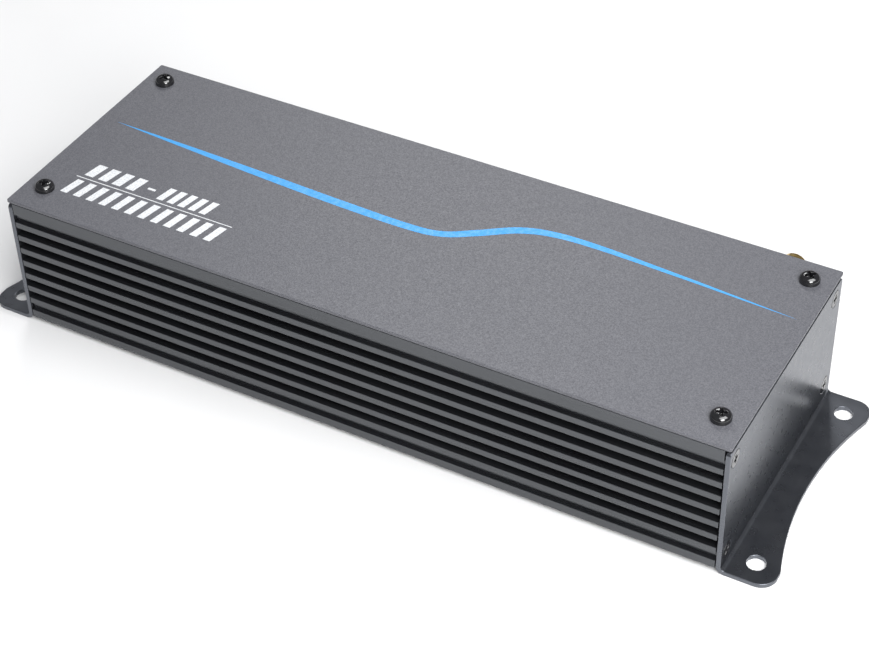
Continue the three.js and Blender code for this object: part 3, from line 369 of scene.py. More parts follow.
def lathe(name, profile, steps=64, ripple=None):
    """A closed turned mesh round Z from (radius, height) pairs, from the bottom up."""
    work = bmesh.new()
    rings = []
    for radius, height in profile:
        if radius == 0:
            rings.append([work.verts.new((0, 0, height))])
            continue
        ring = []
        for step in range(steps):
            turn = 2 * math.pi * step / steps
            r = radius + (ripple(turn, radius, height) if ripple else 0)
            ring.append(work.verts.new((r * math.cos(turn), r * math.sin(turn), height)))
        rings.append(ring)
    closed = profile[0] == profile[-1]
    if closed:
        for vert in rings[-1]:
            work.verts.remove(vert)
        rings[-1] = rings[0]
    for lower, upper in zip(rings, rings[1:]):
        for i in range(steps):
            j = (i + 1) % steps
            corners = [lower[i % len(lower)], lower[j % len(lower)],
                upper[j % len(upper)], upper[i % len(upper)]]
            corners = [c for n, c in enumerate(corners) if c not in corners[:n]]
            if len(corners) > 2:
                work.faces.new(corners)
    bmesh.ops.recalc_face_normals(work, faces=work.faces[:])
    for face in work.faces:
        face.smooth = True
    mesh = bpy.data.meshes.new(name)
    work.to_mesh(mesh)
    work.free()
    return mesh


def carved(mesh, *tools, how="DIFFERENCE"):
    """The mesh with each tool's shape cut out of it, or joined to it."""
    blank = keep_in_scene("blank", mesh)
    cutters = []
    for tool in tools:
        cutters.append(keep_in_scene("tool", tool))
        change = blank.modifiers.new("change", "BOOLEAN")
        change.operation = how
        change.solver = "EXACT"
        change.object = cutters[-1]
    graph = bpy.context.evaluated_depsgraph_get()
    result = bpy.data.meshes.new_from_object(blank.evaluated_get(graph))
    for leftover in [blank, *cutters]:
        bpy.data.objects.remove(leftover)
    work = bmesh.new()
    work.from_mesh(result)
    join_facets(work, 1e-6)
    work.to_mesh(result)
    work.free()
    return result


BAR_FOOT, BAR_RISE = 0.55, 0.0002


def tapered_bar(long, wide, deep):
    """A bar across the origin, from a little above height 0 down to a smaller foot."""
    work = bmesh.new()
    bmesh.ops.create_cube(work, size=2)
    for vert in work.verts:
        share = 1 if vert.co.z > 0 else BAR_FOOT
        vert.co = Vector((vert.co.x * long * share, vert.co.y * wide * share,
            BAR_RISE if vert.co.z > 0 else -deep))
    mesh = bpy.data.meshes.new("bar")
    work.to_mesh(mesh)
    work.free()
    return mesh


def cross_headed(profile, head, deep):
    """A turned screw with its top at height 0 and a cross recess in it."""
    reach, half = 0.60 * head, 0.17 * head
    return carved(lathe("screw", profile), tapered_bar(reach, half, deep),
        tapered_bar(half, reach, deep))


def screw_end(shank, long):
    return [(0, -long), (0.7 * shank, -long), (shank, 0.5 * shank - long)]


def pan_head(head, height, shank, long):
    crown = [(1, -1), (1, -0.62), (0.985, -0.50), (0.94, -0.37), (0.87, -0.25), (0.77, -0.14),
        (0.65, -0.06), (0.52, -0.015), (0.40, 0), (0, 0)]
    profile = screw_end(shank, long + height) + [(shank, -height)]
    return cross_headed(profile + [(r * head, z * height) for r, z in crown], head,
        0.7 * height)


SCREW_EDGE = 0.00006


def drive(node, name, slot, mesh, finish, way, turn):
    """Puts a screw where its CAD piece is, head outwards along way."""
    if not mesh.materials:
        mesh.materials.append(finish)
    low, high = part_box(node)
    out = Vector(way)
    top = (low + high) / 2
    for axis in range(3):
        if out[axis]:
            top[axis] = high[axis] if out[axis] > 0 else low[axis]
    piece = keep_in_scene(name, mesh)
    piece.matrix_world = (Matrix.Translation(top) @ out.to_track_quat("Z", "Y").to_matrix().to_4x4()
        @ Matrix.Rotation(turn, 4, "Z"))
    break_edges(piece, SCREW_EDGE)
    return fitted(piece, slot, node)


screw_black, tree, shader = new_finish("screw_black")
tree.links.new(tint(tree, mottle(tree, 900, 3), (0.006, 0.006, 0.007), (0.011, 0.011, 0.012)),
    shader.inputs["Base Color"])
tree.links.new(between(tree, mottle(tree, 1400, 3), 0.09, 0.15), shader.inputs["Roughness"])
shader.inputs["IOR"].default_value = 1.8
relief(tree, shader, mottle(tree, 3500, 2), 0.000003)

cover_screw = pan_head(head=0.0033, height=0.0026, shank=0.00145, long=0.009)
for node, turn in (("cover_screw_left_front", 0.5), ("cover_screw_left_rear", 1.1),
        ("cover_screw_right_front", 0.35), ("cover_screw_right_rear", 0.75)):
    drive(node, node + "_turned", "black_screw", cover_screw, screw_black, (0, 0, 1), turn)

# ---- End screws ----
# Four black countersunk screws hold each end plate, flush with its face: the front two in the
# ports of the extrusion, the rear two in the post.

END_HEAD, END_HEIGHT, END_SHANK, END_LONG = 0.00295, 0.0014, 0.00145, 0.0095
END_RIM = 0.00008
end_screw = cross_headed(screw_end(END_SHANK, END_LONG) + [(END_SHANK, -END_HEIGHT),
    (END_HEAD, -0.15 * END_HEIGHT), (END_HEAD, -END_RIM), (END_HEAD - END_RIM, 0), (0, 0)],
    END_HEAD, 0.75 * END_HEIGHT)
turns = random.Random(4)
for side, way in (("left", (-1, 0, 0)), ("right", (1, 0, 0))):
    for corner in ("front_top", "front_bottom", "rear_top", "rear_bottom"):
        node = f"end_screw_{side}_{corner}"
        drive(node, node + "_turned", "black_screw", end_screw, screw_black, way,
            turns.uniform(0, 1.5))

# ---- Rear panel ----
# A black satin sheet stands between the end plates and carries every connector. White ink marks
# the knob scales and the polarity of the terminals, and two small black screws hold the panel.

panel_black, tree, shader = new_finish("panel_black")
tree.links.new(tint(tree, mottle(tree, 1800, 3), (0.012, 0.012, 0.014), (0.022, 0.022, 0.025)),
    shader.inputs["Base Color"])
tree.links.new(between(tree, mottle(tree, 900, 3), 0.34, 0.48), shader.inputs["Roughness"])
relief(tree, shader, mottle(tree, 2600, 3), 0.00003, 0.7)
eased("rear_panel", "connector_panel", "panel_coating", [panel_black], 0.00012)
panel_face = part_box("rear_panel")[1].y


def on_panel(u, v, w):
    return (u, panel_face + w, v)


def middle(node):
    low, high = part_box(node)
    return (low + high) / 2


def stroke(x, z, long, wide, angle=0.0):
    """One straight printed stroke centred on (x, z), as a patch."""
    along = Vector((math.cos(angle), math.sin(angle))) * long / 2
    across = Vector((-math.sin(angle), math.cos(angle))) * wide / 2
    return [(x + p * along.x + q * across.x, z + p * along.y + q * across.y)
        for p, q in ((-1, -1), (1, -1), (1, 1), (-1, 1))]


STROKE_WIDE = 0.00035
SCALE_TICKS, SCALE_SWEEP = 11, 300
SCALE_REACH, TICK_LONG = 0.0068, 0.0011
END_TICK_REACH, END_TICK_LONG = 0.0072, 0.0019
knob_z = middle("level_knob").z
patches = []
for node in ("level_knob", "crossover_knob"):
    hub = middle(node)
    for tick in range(SCALE_TICKS):
        angle = math.radians(90 + SCALE_SWEEP / 2 - SCALE_SWEEP * tick / (SCALE_TICKS - 1))
        reach, long = (SCALE_REACH, TICK_LONG) if tick % 5 else (END_TICK_REACH, END_TICK_LONG)
        patches.append(stroke(hub.x + reach * math.cos(angle), hub.z + reach * math.sin(angle),
            long, STROKE_WIDE, angle))
SWITCH_MARK_RISE, SWITCH_MARK_LONG, SWITCH_MARK_LEG = 0.0044, 0.0080, 0.0014
for node in ("phase_switch_body", "filter_switch_body"):
    x = middle(node).x
    patches.append(stroke(x, knob_z + SWITCH_MARK_RISE, SWITCH_MARK_LONG, STROKE_WIDE))
    for side in (-1, 1):
        patches.append(stroke(x + side * SWITCH_MARK_LONG / 2,
            knob_z + SWITCH_MARK_RISE - SWITCH_MARK_LEG / 2, SWITCH_MARK_LEG, STROKE_WIDE,
            math.pi / 2))
LAMP_MARK_RISE, LAMP_MARK_LONG = 0.0042, 0.0034
for node in ("power_lamp", "protect_lamp"):
    patches.append(stroke(middle(node).x, knob_z + LAMP_MARK_RISE, LAMP_MARK_LONG, STROKE_WIDE))
SIGN_RISE, SIGN_LONG, SIGN_WIDE = 0.0030, 0.0026, 0.0005
BLOCK_END_WALLS = 0.003
for block, pluses in (("speaker_terminal_block", (1, 0)), ("power_terminal_block", (0, 0, 1))):
    low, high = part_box(block)
    pitch = (high.x - low.x - BLOCK_END_WALLS) / len(pluses)
    for pole, plus in enumerate(pluses):
        x = (low.x + high.x) / 2 + (pole - (len(pluses) - 1) / 2) * pitch
        for angle in (0, math.pi / 2) if plus else (0,):
            patches.append(stroke(x, high.z + SIGN_RISE, SIGN_LONG, SIGN_WIDE, angle))
printed("panel_marks", "panel_coating", patches, on_panel, white_ink)

SMALL_SCREW = {"head": 0.0027, "height": 0.0019, "shank": 0.0013}
panel_screw = pan_head(**SMALL_SCREW, long=0.007)
for side, turn in (("left", 0.2), ("right", 1.2)):
    drive(f"panel_screw_{side}", f"panel_screw_{side}_turned", "black_screw", panel_screw,
        screw_black, (0, 1, 0), turn)

# ---- Rear posts ----
# Die-cast zinc blocks stand in the two rear corners, between the floor and the cover. Drilled
# holes in them take the rear cover screws, the rear end screws and the panel screws.

cast_zinc, tree, shader = new_finish("cast_zinc")
tree.links.new(tint(tree, mottle(tree, 260, 5), (0.36, 0.37, 0.38), (0.52, 0.53, 0.54)),
    shader.inputs["Base Color"])
tree.links.new(between(tree, mottle(tree, 500, 4), 0.40, 0.62), shader.inputs["Roughness"])
shader.inputs["Metallic"].default_value = 0.9
relief(tree, shader, mottle(tree, 1300, 4), 0.00004)
for side in ("left", "right"):
    eased(f"{side}_rear_post", f"{side}_corner_post", "cast_zinc", [cast_zinc], 0.0003)

# ---- Circuit board ----
# A glass-fibre laminate with green solder mask, screwed down on the two rails. Small chips and
# resistors are soldered between the large parts, each on its own tinned pads.

board_green, tree, shader = new_finish("board_green")
tree.links.new(tint(tree, mottle(tree, 380, 2, (1, 0.25, 1)), (0.008, 0.085, 0.030),
    (0.018, 0.150, 0.052), 0.48, 0.52), shader.inputs["Base Color"])
tree.links.new(between(tree, mottle(tree, 250, 3), 0.22, 0.36), shader.inputs["Roughness"])
relief(tree, shader, mottle(tree, 2000, 1, (1, 0.3, 1)), 0.00002)
eased("circuit_board", "laminate", "board_laminate", [board_green], 0.00012)

bright_zinc, tree, shader = new_finish("bright_zinc")
tree.links.new(tint(tree, mottle(tree, 700, 4), (0.60, 0.61, 0.63), (0.80, 0.81, 0.82)),
    shader.inputs["Base Color"])
tree.links.new(between(tree, mottle(tree, 1200, 4), 0.16, 0.34), shader.inputs["Roughness"])
shader.inputs["Metallic"].default_value = 1.0
relief(tree, shader, mottle(tree, 2800, 3), 0.000006)
zinc_board_screw = pan_head(**SMALL_SCREW, long=0.007)
for side in ("left", "right"):
    for end in ("front", "rear"):
        node = f"board_screw_{side}_{end}"
        drive(node, node + "_turned", "zinc_screw", zinc_board_screw, bright_zinc, (0, 0, 1),
            turns.uniform(0, 1.5))

chip_black, tree, shader = new_finish("chip_black")
tree.links.new(tint(tree, mottle(tree, 1500, 3), (0.014, 0.014, 0.015), (0.028, 0.028, 0.030)),
    shader.inputs["Base Color"])
tree.links.new(between(tree, mottle(tree, 2200, 2), 0.45, 0.62), shader.inputs["Roughness"])
relief(tree, shader, mottle(tree, 5000, 2), 0.000012)

tinned, tree, shader = new_finish("tinned")
tree.links.new(tint(tree, mottle(tree, 500, 4), (0.52, 0.52, 0.52), (0.72, 0.72, 0.71)),
    shader.inputs["Base Color"])
tree.links.new(between(tree, mottle(tree, 900, 3), 0.24, 0.42), shader.inputs["Roughness"])
shader.inputs["Metallic"].default_value = 1.0
relief(tree, shader, mottle(tree, 1500, 3), 0.00001)


def add_block(work, x0, x1, y0, y1, z0, z1, index=0, easing=0.0):
    """Adds one box with broken edges to the mesh under work."""
    made = bmesh.ops.create_cube(work, size=1)["verts"]
    for vert in made:
        vert.co = Vector(((x0 + x1) / 2 + vert.co.x * (x1 - x0),
            (y0 + y1) / 2 + vert.co.y * (y1 - y0), (z0 + z1) / 2 + vert.co.z * (z1 - z0)))
    edges = list({edge for vert in made for edge in vert.link_edges})
    faces = list({face for vert in made for face in vert.link_faces})
    for face in faces:
        face.material_index = index
    if easing:
        bmesh.ops.bevel(work, geom=edges, offset=easing, segments=2, affect="EDGES",
            profile=0.5, material=index)


def piece_from(work, name, finishes, slot, *nodes, body="amplifier"):
    mesh = bpy.data.meshes.new(name)
    for face in work.faces:
        face.smooth = True
    work.to_mesh(mesh)
    work.free()
    mesh.set_sharp_from_angle(angle=math.radians(35))
    for finish in finishes:
        mesh.materials.append(finish)
    return fitted(keep_in_scene(name, mesh), slot, *nodes, body=body)


board_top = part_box("circuit_board")[1].z
work = bmesh.new()
CHIP_HALF_LONG, CHIP_HALF_WIDE, CHIP_FOOT, CHIP_TOP = 0.0025, 0.002, 0.0003, 0.0018
LEG_PITCH, LEG_HALF_WIDE, LEG_HALF_LONG, LEG_TOP = 0.00127, 0.0002, 0.0011, 0.0005
FIRST_LEG, LEG_ROW = 0.0019, 0.0030
for row in range(3):
    for column in range(4):
        x, y = 0.060 + 0.013 * column, -0.024 + 0.014 * row
        add_block(work, x - CHIP_HALF_LONG, x + CHIP_HALF_LONG, y - CHIP_HALF_WIDE,
            y + CHIP_HALF_WIDE, board_top + CHIP_FOOT, board_top + CHIP_TOP, 0, 0.00015)
        for leg in range(4):
            foot = x - FIRST_LEG + LEG_PITCH * leg
            for side in (-1, 1):
                add_block(work, foot - LEG_HALF_WIDE, foot + LEG_HALF_WIDE,
                    y + side * LEG_ROW - LEG_HALF_LONG, y + side * LEG_ROW + LEG_HALF_LONG,
                    board_top, board_top + LEG_TOP, 1)
RESISTOR_HALF_WIDE, RESISTOR_HALF_LONG, RESISTOR_TOP = 0.0005, 0.0006, 0.0006
TINNED_END, TINNED_HALF = 0.0009, 0.00035
REAR_COLUMNS, REAR_SHIFT, REAR_LIMIT = (6, 7, 8), 0.028, 0.018      # these stand further back
for row in range(5):
    for column in range(9):
        x, y = -0.008 + 0.0035 * column, -0.024 + 0.006 * row
        if column in REAR_COLUMNS:
            y += REAR_SHIFT
            if y > REAR_LIMIT:
                continue
        add_block(work, x - RESISTOR_HALF_WIDE, x + RESISTOR_HALF_WIDE, y - RESISTOR_HALF_LONG,
            y + RESISTOR_HALF_LONG, board_top, board_top + RESISTOR_TOP, 0, 0.00008)
        for side in (-1, 1):
            add_block(work, x - RESISTOR_HALF_WIDE, x + RESISTOR_HALF_WIDE,
                y + side * TINNED_END - TINNED_HALF, y + side * TINNED_END + TINNED_HALF,
                board_top, board_top + RESISTOR_TOP, 1)
piece_from(work, "small_board_parts", [chip_black, tinned], "epoxy")

# ---- Input jacks ----
# Two gilt phono jacks stand one over the other in a black moulded block. Each has a coloured
# insulating face and a gilt spring contact down its middle.

moulded_black, tree, shader = new_finish("moulded_black")
tree.links.new(tint(tree, mottle(tree, 700, 3), (0.015, 0.015, 0.016), (0.024, 0.024, 0.026)),
    shader.inputs["Base Color"])
tree.links.new(between(tree, mottle(tree, 1600, 3), 0.38, 0.52), shader.inputs["Roughness"])
relief(tree, shader, mottle(tree, 3800, 2), 0.000015)

gilt, tree, shader = new_finish("gilt")
tree.links.new(tint(tree, mottle(tree, 500, 3), (0.74, 0.50, 0.16), (0.86, 0.62, 0.24)),
    shader.inputs["Base Color"])
tree.links.new(between(tree, mottle(tree, 1100, 3, (0.1, 0.1, 1)), 0.14, 0.28),
    shader.inputs["Roughness"])
shader.inputs["Metallic"].default_value = 1.0
relief(tree, shader, mottle(tree, 3000, 2, (0.1, 0.1, 1)), 0.000006)


def new_moulding(name, dark, light, smooth=0.3):
    moulding, tree, shader = new_finish(name)
    tree.links.new(tint(tree, mottle(tree, 600, 3), dark, light), shader.inputs["Base Color"])
    tree.links.new(between(tree, mottle(tree, 1500, 2), smooth, smooth + 0.12),
        shader.inputs["Roughness"])
    relief(tree, shader, mottle(tree, 3200, 2), 0.000006)
    return moulding


insulator_white = new_moulding("insulator_white", (0.70, 0.70, 0.67), (0.80, 0.80, 0.78))
insulator_red = new_moulding("insulator_red", (0.42, 0.012, 0.012), (0.55, 0.020, 0.018))
eased("input_jack_block", "jack_housing", "black_moulding", [moulded_black], 0.0003)


def along_y(piece, x, y, z):
    """Lays a turned piece along +Y, with its own zero at the point."""
    piece.matrix_world = Matrix.Translation((x, y, z)) @ Matrix.Rotation(-math.pi / 2, 4, "X")
    return piece


JACK_BARREL, JACK_WALL, JACK_COLLAR = 0.0042, 0.00075, 0.0052
NOSE, NOSE_INSET, PIN_BORE = 0.0031, 0.002, 0.00165
CONTACT_BORE, CONTACT, CONTACT_LONG, CONTACT_INSET = 0.00125, 0.00155, 0.0072, 0.0075
for level, face_colour in (("lower", insulator_red), ("upper", insulator_white)):
    node = f"input_jack_shell_{level}"
    low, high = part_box(node)
    x, z, reach = middle(node).x, middle(node).z, high.y - low.y
    collar = panel_face + 0.0003 - low.y
    inner = JACK_BARREL - JACK_WALL
    shell = lathe("jack_shell", [(inner, 0), (JACK_BARREL, 0), (JACK_BARREL, collar),
        (JACK_COLLAR - 0.0002, collar), (JACK_COLLAR, collar + 0.0002),
        (JACK_COLLAR, collar + 0.0008), (JACK_COLLAR - 0.0002, collar + 0.001),
        (JACK_BARREL + 0.0002, collar + 0.001), (JACK_BARREL, collar + 0.0012),
        (JACK_BARREL, reach - 0.00055), (JACK_BARREL - 0.00012, reach - 0.0002),
        (JACK_BARREL - 0.0004, reach), (inner + 0.00012, reach), (inner, reach - 0.00012),
        (inner, 0)], 72)
    shell.set_sharp_from_angle(angle=math.radians(40))
    shell.materials.append(gilt)
    fitted(along_y(keep_in_scene(f"jack_shell_{level}_turned", shell), x, low.y, z), "gilt", node)
    nose_face = high.y - NOSE_INSET
    disc = lathe("insulator", [(PIN_BORE + 0.0001, 0), (NOSE, 0), (NOSE, 0.0004),
        (NOSE - 0.0003, 0.0006), (PIN_BORE + 0.0004, 0.0006), (PIN_BORE + 0.0001, 0.0004),
        (PIN_BORE + 0.0001, 0)], 64)
    disc.set_sharp_from_angle(angle=math.radians(40))
    disc.materials.append(face_colour)
    fitted(along_y(keep_in_scene(f"jack_insulator_{level}", disc), x, nose_face, z),
        "white_moulding", body="amplifier")
    contact = lathe("contact", [(CONTACT_BORE, 0), (CONTACT, 0), (CONTACT, CONTACT_LONG - 0.0002),
        (CONTACT - 0.00015, CONTACT_LONG), (CONTACT_BORE, CONTACT_LONG - 0.0002),
        (CONTACT_BORE, 0)], 40)
    contact.materials.append(gilt)
    fitted(along_y(keep_in_scene(f"jack_contact_{level}", contact), x, nose_face - CONTACT_INSET, z),
        "gilt", body="amplifier")

# ---- Remote level socket ----
# A modular socket in a black moulding takes the plug of a remote control. Four gilt spring
# wires slope down from the roof of its mouth.

eased("remote_level_socket", "remote_socket_housing", "black_moulding", [moulded_black], 0.0002)


def wire(name, slot, runs, radius, finish, sides=3):
    """Round wire along each run of points, as one piece."""
    strand = bpy.data.curves.new(name, "CURVE")
    strand.dimensions = "3D"
    strand.bevel_depth = radius
    strand.bevel_resolution = sides
    strand.use_fill_caps = True
    for run in runs:
        path = strand.splines.new("POLY")
        path.points.add(len(run) - 1)
        for spot, point in zip(path.points, run):
            spot.co = (*point, 1)
        path.use_smooth = True
    strand.materials.append(finish)
    return fitted(keep_in_scene(name, strand), slot, body="amplifier")


CONTACT_WIRES, CONTACT_PITCH, CONTACT_RADIUS = 4, 0.00127, 0.00023
MOUTH_FLOOR, MOUTH_TALL, CONTACT_DROP = 0.004, 0.0069, 0.0004
# Each spring wire's course as (in from the face, down from its root), in metres.
CONTACT_COURSE = [(0.0012, 0), (0.0020, 0.0001), (0.0040, 0.0010), (0.0075, 0.0028),
    (0.0098, 0.0036)]
low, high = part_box("remote_level_socket")
roof = board_top + MOUTH_FLOOR + MOUTH_TALL - CONTACT_DROP
runs = []
for contact in range(CONTACT_WIRES):
    x = (low.x + high.x) / 2 + (contact - (CONTACT_WIRES - 1) / 2) * CONTACT_PITCH
    runs.append([(x, high.y - inwards, roof - down) for inwards, down in CONTACT_COURSE])
wire("remote_socket_contacts", "gilt", runs, CONTACT_RADIUS, gilt)

# ---- Rotary controls ----
# A level and a crossover control stand behind the panel in plated cans. Their fluted black
# knobs turn 300 degrees on steel shafts, and a white line shows the setting.

plated_can, tree, shader = new_finish("plated_can")
tree.links.new(tint(tree, mottle(tree, 240, 4), (0.44, 0.44, 0.46), (0.58, 0.58, 0.60)),
    shader.inputs["Base Color"])
tree.links.new(between(tree, mottle(tree, 800, 3, (0.15, 1, 1)), 0.26, 0.42),
    shader.inputs["Roughness"])
shader.inputs["Metallic"].default_value = 1.0
relief(tree, shader, mottle(tree, 2200, 2, (0.15, 1, 1)), 0.000008)
knob_black = new_moulding("knob_black", (0.018, 0.018, 0.020), (0.030, 0.030, 0.032), 0.42)

KNOB, KNOB_LONG, SHAFT = 0.0046, 0.007, 0.002
FLUTES, FLUTE_DEEP, FLUTE_SHARE = 12, 0.00035, 0.14
KNOB_SKIRT = 0.0009


def knob_ripple(turn, radius, height):
    """Round-bottomed flutes along the side of the knob, fading out at its skirt."""
    if radius < 0.9 * KNOB or height < KNOB_SKIRT:
        return 0
    spot = (turn * FLUTES / (2 * math.pi) + 0.5) % 1 - 0.5
    if abs(spot) >= FLUTE_SHARE:
        return 0
    return -FLUTE_DEEP * (1 - (spot / FLUTE_SHARE) ** 2) ** 0.5


POINTER_HALF = 0.00035
for control in ("level", "crossover"):
    eased(f"{control}_control_body", f"{control}_control_can", "plated_case", [plated_can], 0.0003)
    node = f"{control}_knob"
    low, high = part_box(node)
    hub, back = middle(node), high.y - KNOB_LONG
    front = KNOB_LONG - 0.00006
    cap = lathe("knob", [(0, 0), (KNOB - 0.0002, 0), (KNOB, 0.0002), (KNOB, 0.0008),
        (KNOB, 0.0010), (KNOB, front - 0.0007), (KNOB - 0.00022, front - 0.00022),
        (KNOB - 0.0007, front), (KNOB - 0.0011, front), (KNOB - 0.0014, front - 0.00022),
        (0, front - 0.00022)], 240, knob_ripple)
    cap.set_sharp_from_angle(angle=math.radians(35))
    cap.materials.append(knob_black)
    fitted(along_y(keep_in_scene(f"{control}_knob_cap", cap), hub.x, back, hub.z),
        "knob_moulding", node)
    shaft = lathe("shaft", [(0, 0), (SHAFT - 0.0003, 0), (SHAFT, 0.0003),
        (SHAFT, back - low.y), (0, back - low.y)], 48)
    shaft.set_sharp_from_angle(angle=math.radians(35))
    shaft.materials.append(tinned)
    fitted(along_y(keep_in_scene(f"{control}_knob_shaft", shaft), hub.x, low.y, hub.z),
        "plated_case", body=node)
    work = bmesh.new()
    add_block(work, hub.x - POINTER_HALF, hub.x + POINTER_HALF, high.y - 0.0004, high.y - 0.00001,
        hub.z + KNOB / 3, hub.z + KNOB - 0.0006, 0, 0.0001)
    add_block(work, hub.x - POINTER_HALF, hub.x + POINTER_HALF, high.y - 0.0050, high.y - 0.0009,
        hub.z + KNOB - 0.0004, hub.z + KNOB - 0.00001, 0, 0.0001)
    piece_from(work, f"{control}_knob_pointer", [insulator_white], "white_moulding", body=node)

# ---- Slide switches ----
# Two slide switches select the phase and the filter. A white ribbed button stands out of a slot
# in the panel and slides 3 mm sideways.

RIB_PITCH, RIB_HALF_WIDE, RIB_HALF_TALL = 0.0009, 0.0002, 0.0009
for switch in ("phase", "filter"):
    eased(f"{switch}_switch_body", f"{switch}_switch_can", "plated_case", [plated_can], 0.0002)
    node = f"{switch}_switch_button"
    eased(node, f"{switch}_button_stem", "white_moulding", [insulator_white], 0.00025, segments=3)
    low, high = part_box(node)
    centre = middle(node)
    work = bmesh.new()
    for rib in (-1, 0, 1):
        x = centre.x + rib * RIB_PITCH
        add_block(work, x - RIB_HALF_WIDE, x + RIB_HALF_WIDE, high.y - 0.0003, high.y + 0.00025,
            centre.z - RIB_HALF_TALL, centre.z + RIB_HALF_TALL, 0, 0.0001)
    piece_from(work, f"{switch}_button_ribs", [insulator_white], "white_moulding",
        body=body_of(node))

# ---- Status lamps ----
# A green and a red lamp with tinted domes show power and protection. Each is cast in clear
# tinted resin on two tinned leads, which bend down to the board.


def new_lens(name, colour):
    glass, tree, shader = new_finish(name)
    deep = tuple(0.7 * c for c in colour)
    tree.links.new(tint(tree, mottle(tree, 500, 2), deep, colour), shader.inputs["Base Color"])
    tree.links.new(between(tree, mottle(tree, 1500, 2), 0.05, 0.14), shader.inputs["Roughness"])
    shader.inputs["Transmission Weight"].default_value = 0.45
    shader.inputs["IOR"].default_value = 1.5
    relief(tree, shader, mottle(tree, 1500, 1), 0.000003)
    return glass


LENS, LENS_RIM, LENS_BACK, LENS_GAP = 0.0015, 0.0019, 0.004, 0.0003
LEAD_SIDE, LEAD_RADIUS = 0.00097, 0.00028
for lamp, slot, colour in (("power_lamp", "green_lens", (0.05, 0.55, 0.14)),
        ("protect_lamp", "red_lens", (0.65, 0.03, 0.02))):
    low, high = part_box(lamp)
    spot = middle(lamp)
    long = high.y - (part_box("rear_panel")[0].y - LENS_GAP) + LENS_BACK
    dome = [(LENS * math.cos(a), long - LENS + LENS * math.sin(a))
        for a in (math.radians(15 * step) for step in range(6))]
    lens_mesh = lathe("lens", [(0, 0), (LENS_RIM - 0.0001, 0), (LENS_RIM, 0.0001),
        (LENS_RIM, LENS_BACK - 0.0001), (LENS_RIM - 0.0001, LENS_BACK), (LENS, LENS_BACK),
        *dome, (0, long)], 48)
    lens_mesh.set_sharp_from_angle(angle=math.radians(40))
    lens_mesh.materials.append(new_lens(f"{lamp}_resin", colour))
    fitted(along_y(keep_in_scene(f"{lamp}_lens", lens_mesh), spot.x, high.y - long, knob_z),
        slot, lamp)
    course = [(high.y - long, knob_z), (low.y + 0.0008, knob_z), (low.y + 0.0003, knob_z - 0.0004),
        (low.y + 0.0003, board_top)]
    wire(f"{lamp}_leads", slot, [[(spot.x + side * LEAD_SIDE, y, z) for y, z in course]
        for side in (-1, 1)], LEAD_RADIUS, tinned)

# ---- Fuse ----
# A blade fuse in tinted green plastic is pushed into a black moulded holder. Its two blades and
# the thin strip between them show through the plastic.

eased("fuse_holder", "fuse_seat", "black_moulding", [moulded_black], 0.00025)


def block_mesh(*sizes):
    work = bmesh.new()
    add_block(work, *sizes)
    mesh = bpy.data.meshes.new("block")
    work.to_mesh(mesh)
    work.free()
    return mesh


low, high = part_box("blade_fuse")
spot = middle("blade_fuse")
FUSE_LONG, FUSE_RIM, FUSE_WAIST, FUSE_FOOT = 0.012, 0.0016, 0.0007, 0.004
root = high.y - FUSE_LONG
fuse_body = carved(
    block_mesh(low.x + FUSE_WAIST, high.x - FUSE_WAIST, root, high.y, low.z + FUSE_WAIST,
        high.z - FUSE_WAIST),
    block_mesh(low.x, high.x, root, root + FUSE_FOOT, low.z, high.z),
    block_mesh(low.x, high.x, high.y - FUSE_RIM, high.y, low.z, high.z), how="UNION")
fuse_green = new_lens("fuse_green", (0.03, 0.42, 0.12))
fuse_body.materials.clear()
fuse_body.materials.append(fuse_green)
for face in fuse_body.polygons:
    face.use_smooth = True
body = keep_in_scene("fuse_body", fuse_body)
break_edges(body, 0.00025, segments=3)
fitted(body, "fuse_moulding", "blade_fuse")

BLADE_WIDE, BLADE_SHEET, BLADE_SPREAD, BLADE_NECK = 0.0052, 0.0007, 0.0134, 0.0006
work = bmesh.new()
for side in (-1, 1):
    x = spot.x + side * BLADE_SPREAD / 2
    for half, start, end in ((BLADE_WIDE / 2, low.y, root - 0.00005),
            (BLADE_WIDE / 2 - BLADE_NECK, root + 0.0004, high.y - 0.0022)):
        add_block(work, x - half, x + half, start, end, spot.z - BLADE_SHEET / 2,
            spot.z + BLADE_SHEET / 2, 0, 0.0001)
piece_from(work, "fuse_blades", [tinned], "fuse_moulding")
# The strip's course as (across, out from the root), in metres.
STRIP_COURSE = [(-0.0046, 0.0035), (-0.0020, 0.0035), (-0.0010, 0.0060), (0.0, 0.0045),
    (0.0010, 0.0060), (0.0020, 0.0035), (0.0046, 0.0035)]
wire("fuse_strip", "fuse_moulding", [[(spot.x + across, root + out, spot.z)
    for across, out in STRIP_COURSE]], 0.0003, tinned)

# ---- Terminal blocks ----
# Black moulded blocks take the speaker and power wires in square mouths. Each mouth is lined
# with a folded brass trough, and a slotted zinc screw clamps the wire down in it.

brass, tree, shader = new_finish("brass")
tree.links.new(tint(tree, mottle(tree, 400, 4), (0.50, 0.36, 0.13), (0.66, 0.50, 0.22)),
    shader.inputs["Base Color"])
tree.links.new(between(tree, mottle(tree, 900, 3), 0.25, 0.42), shader.inputs["Roughness"])
shader.inputs["Metallic"].default_value = 1.0
relief(tree, shader, mottle(tree, 1800, 3), 0.000008)

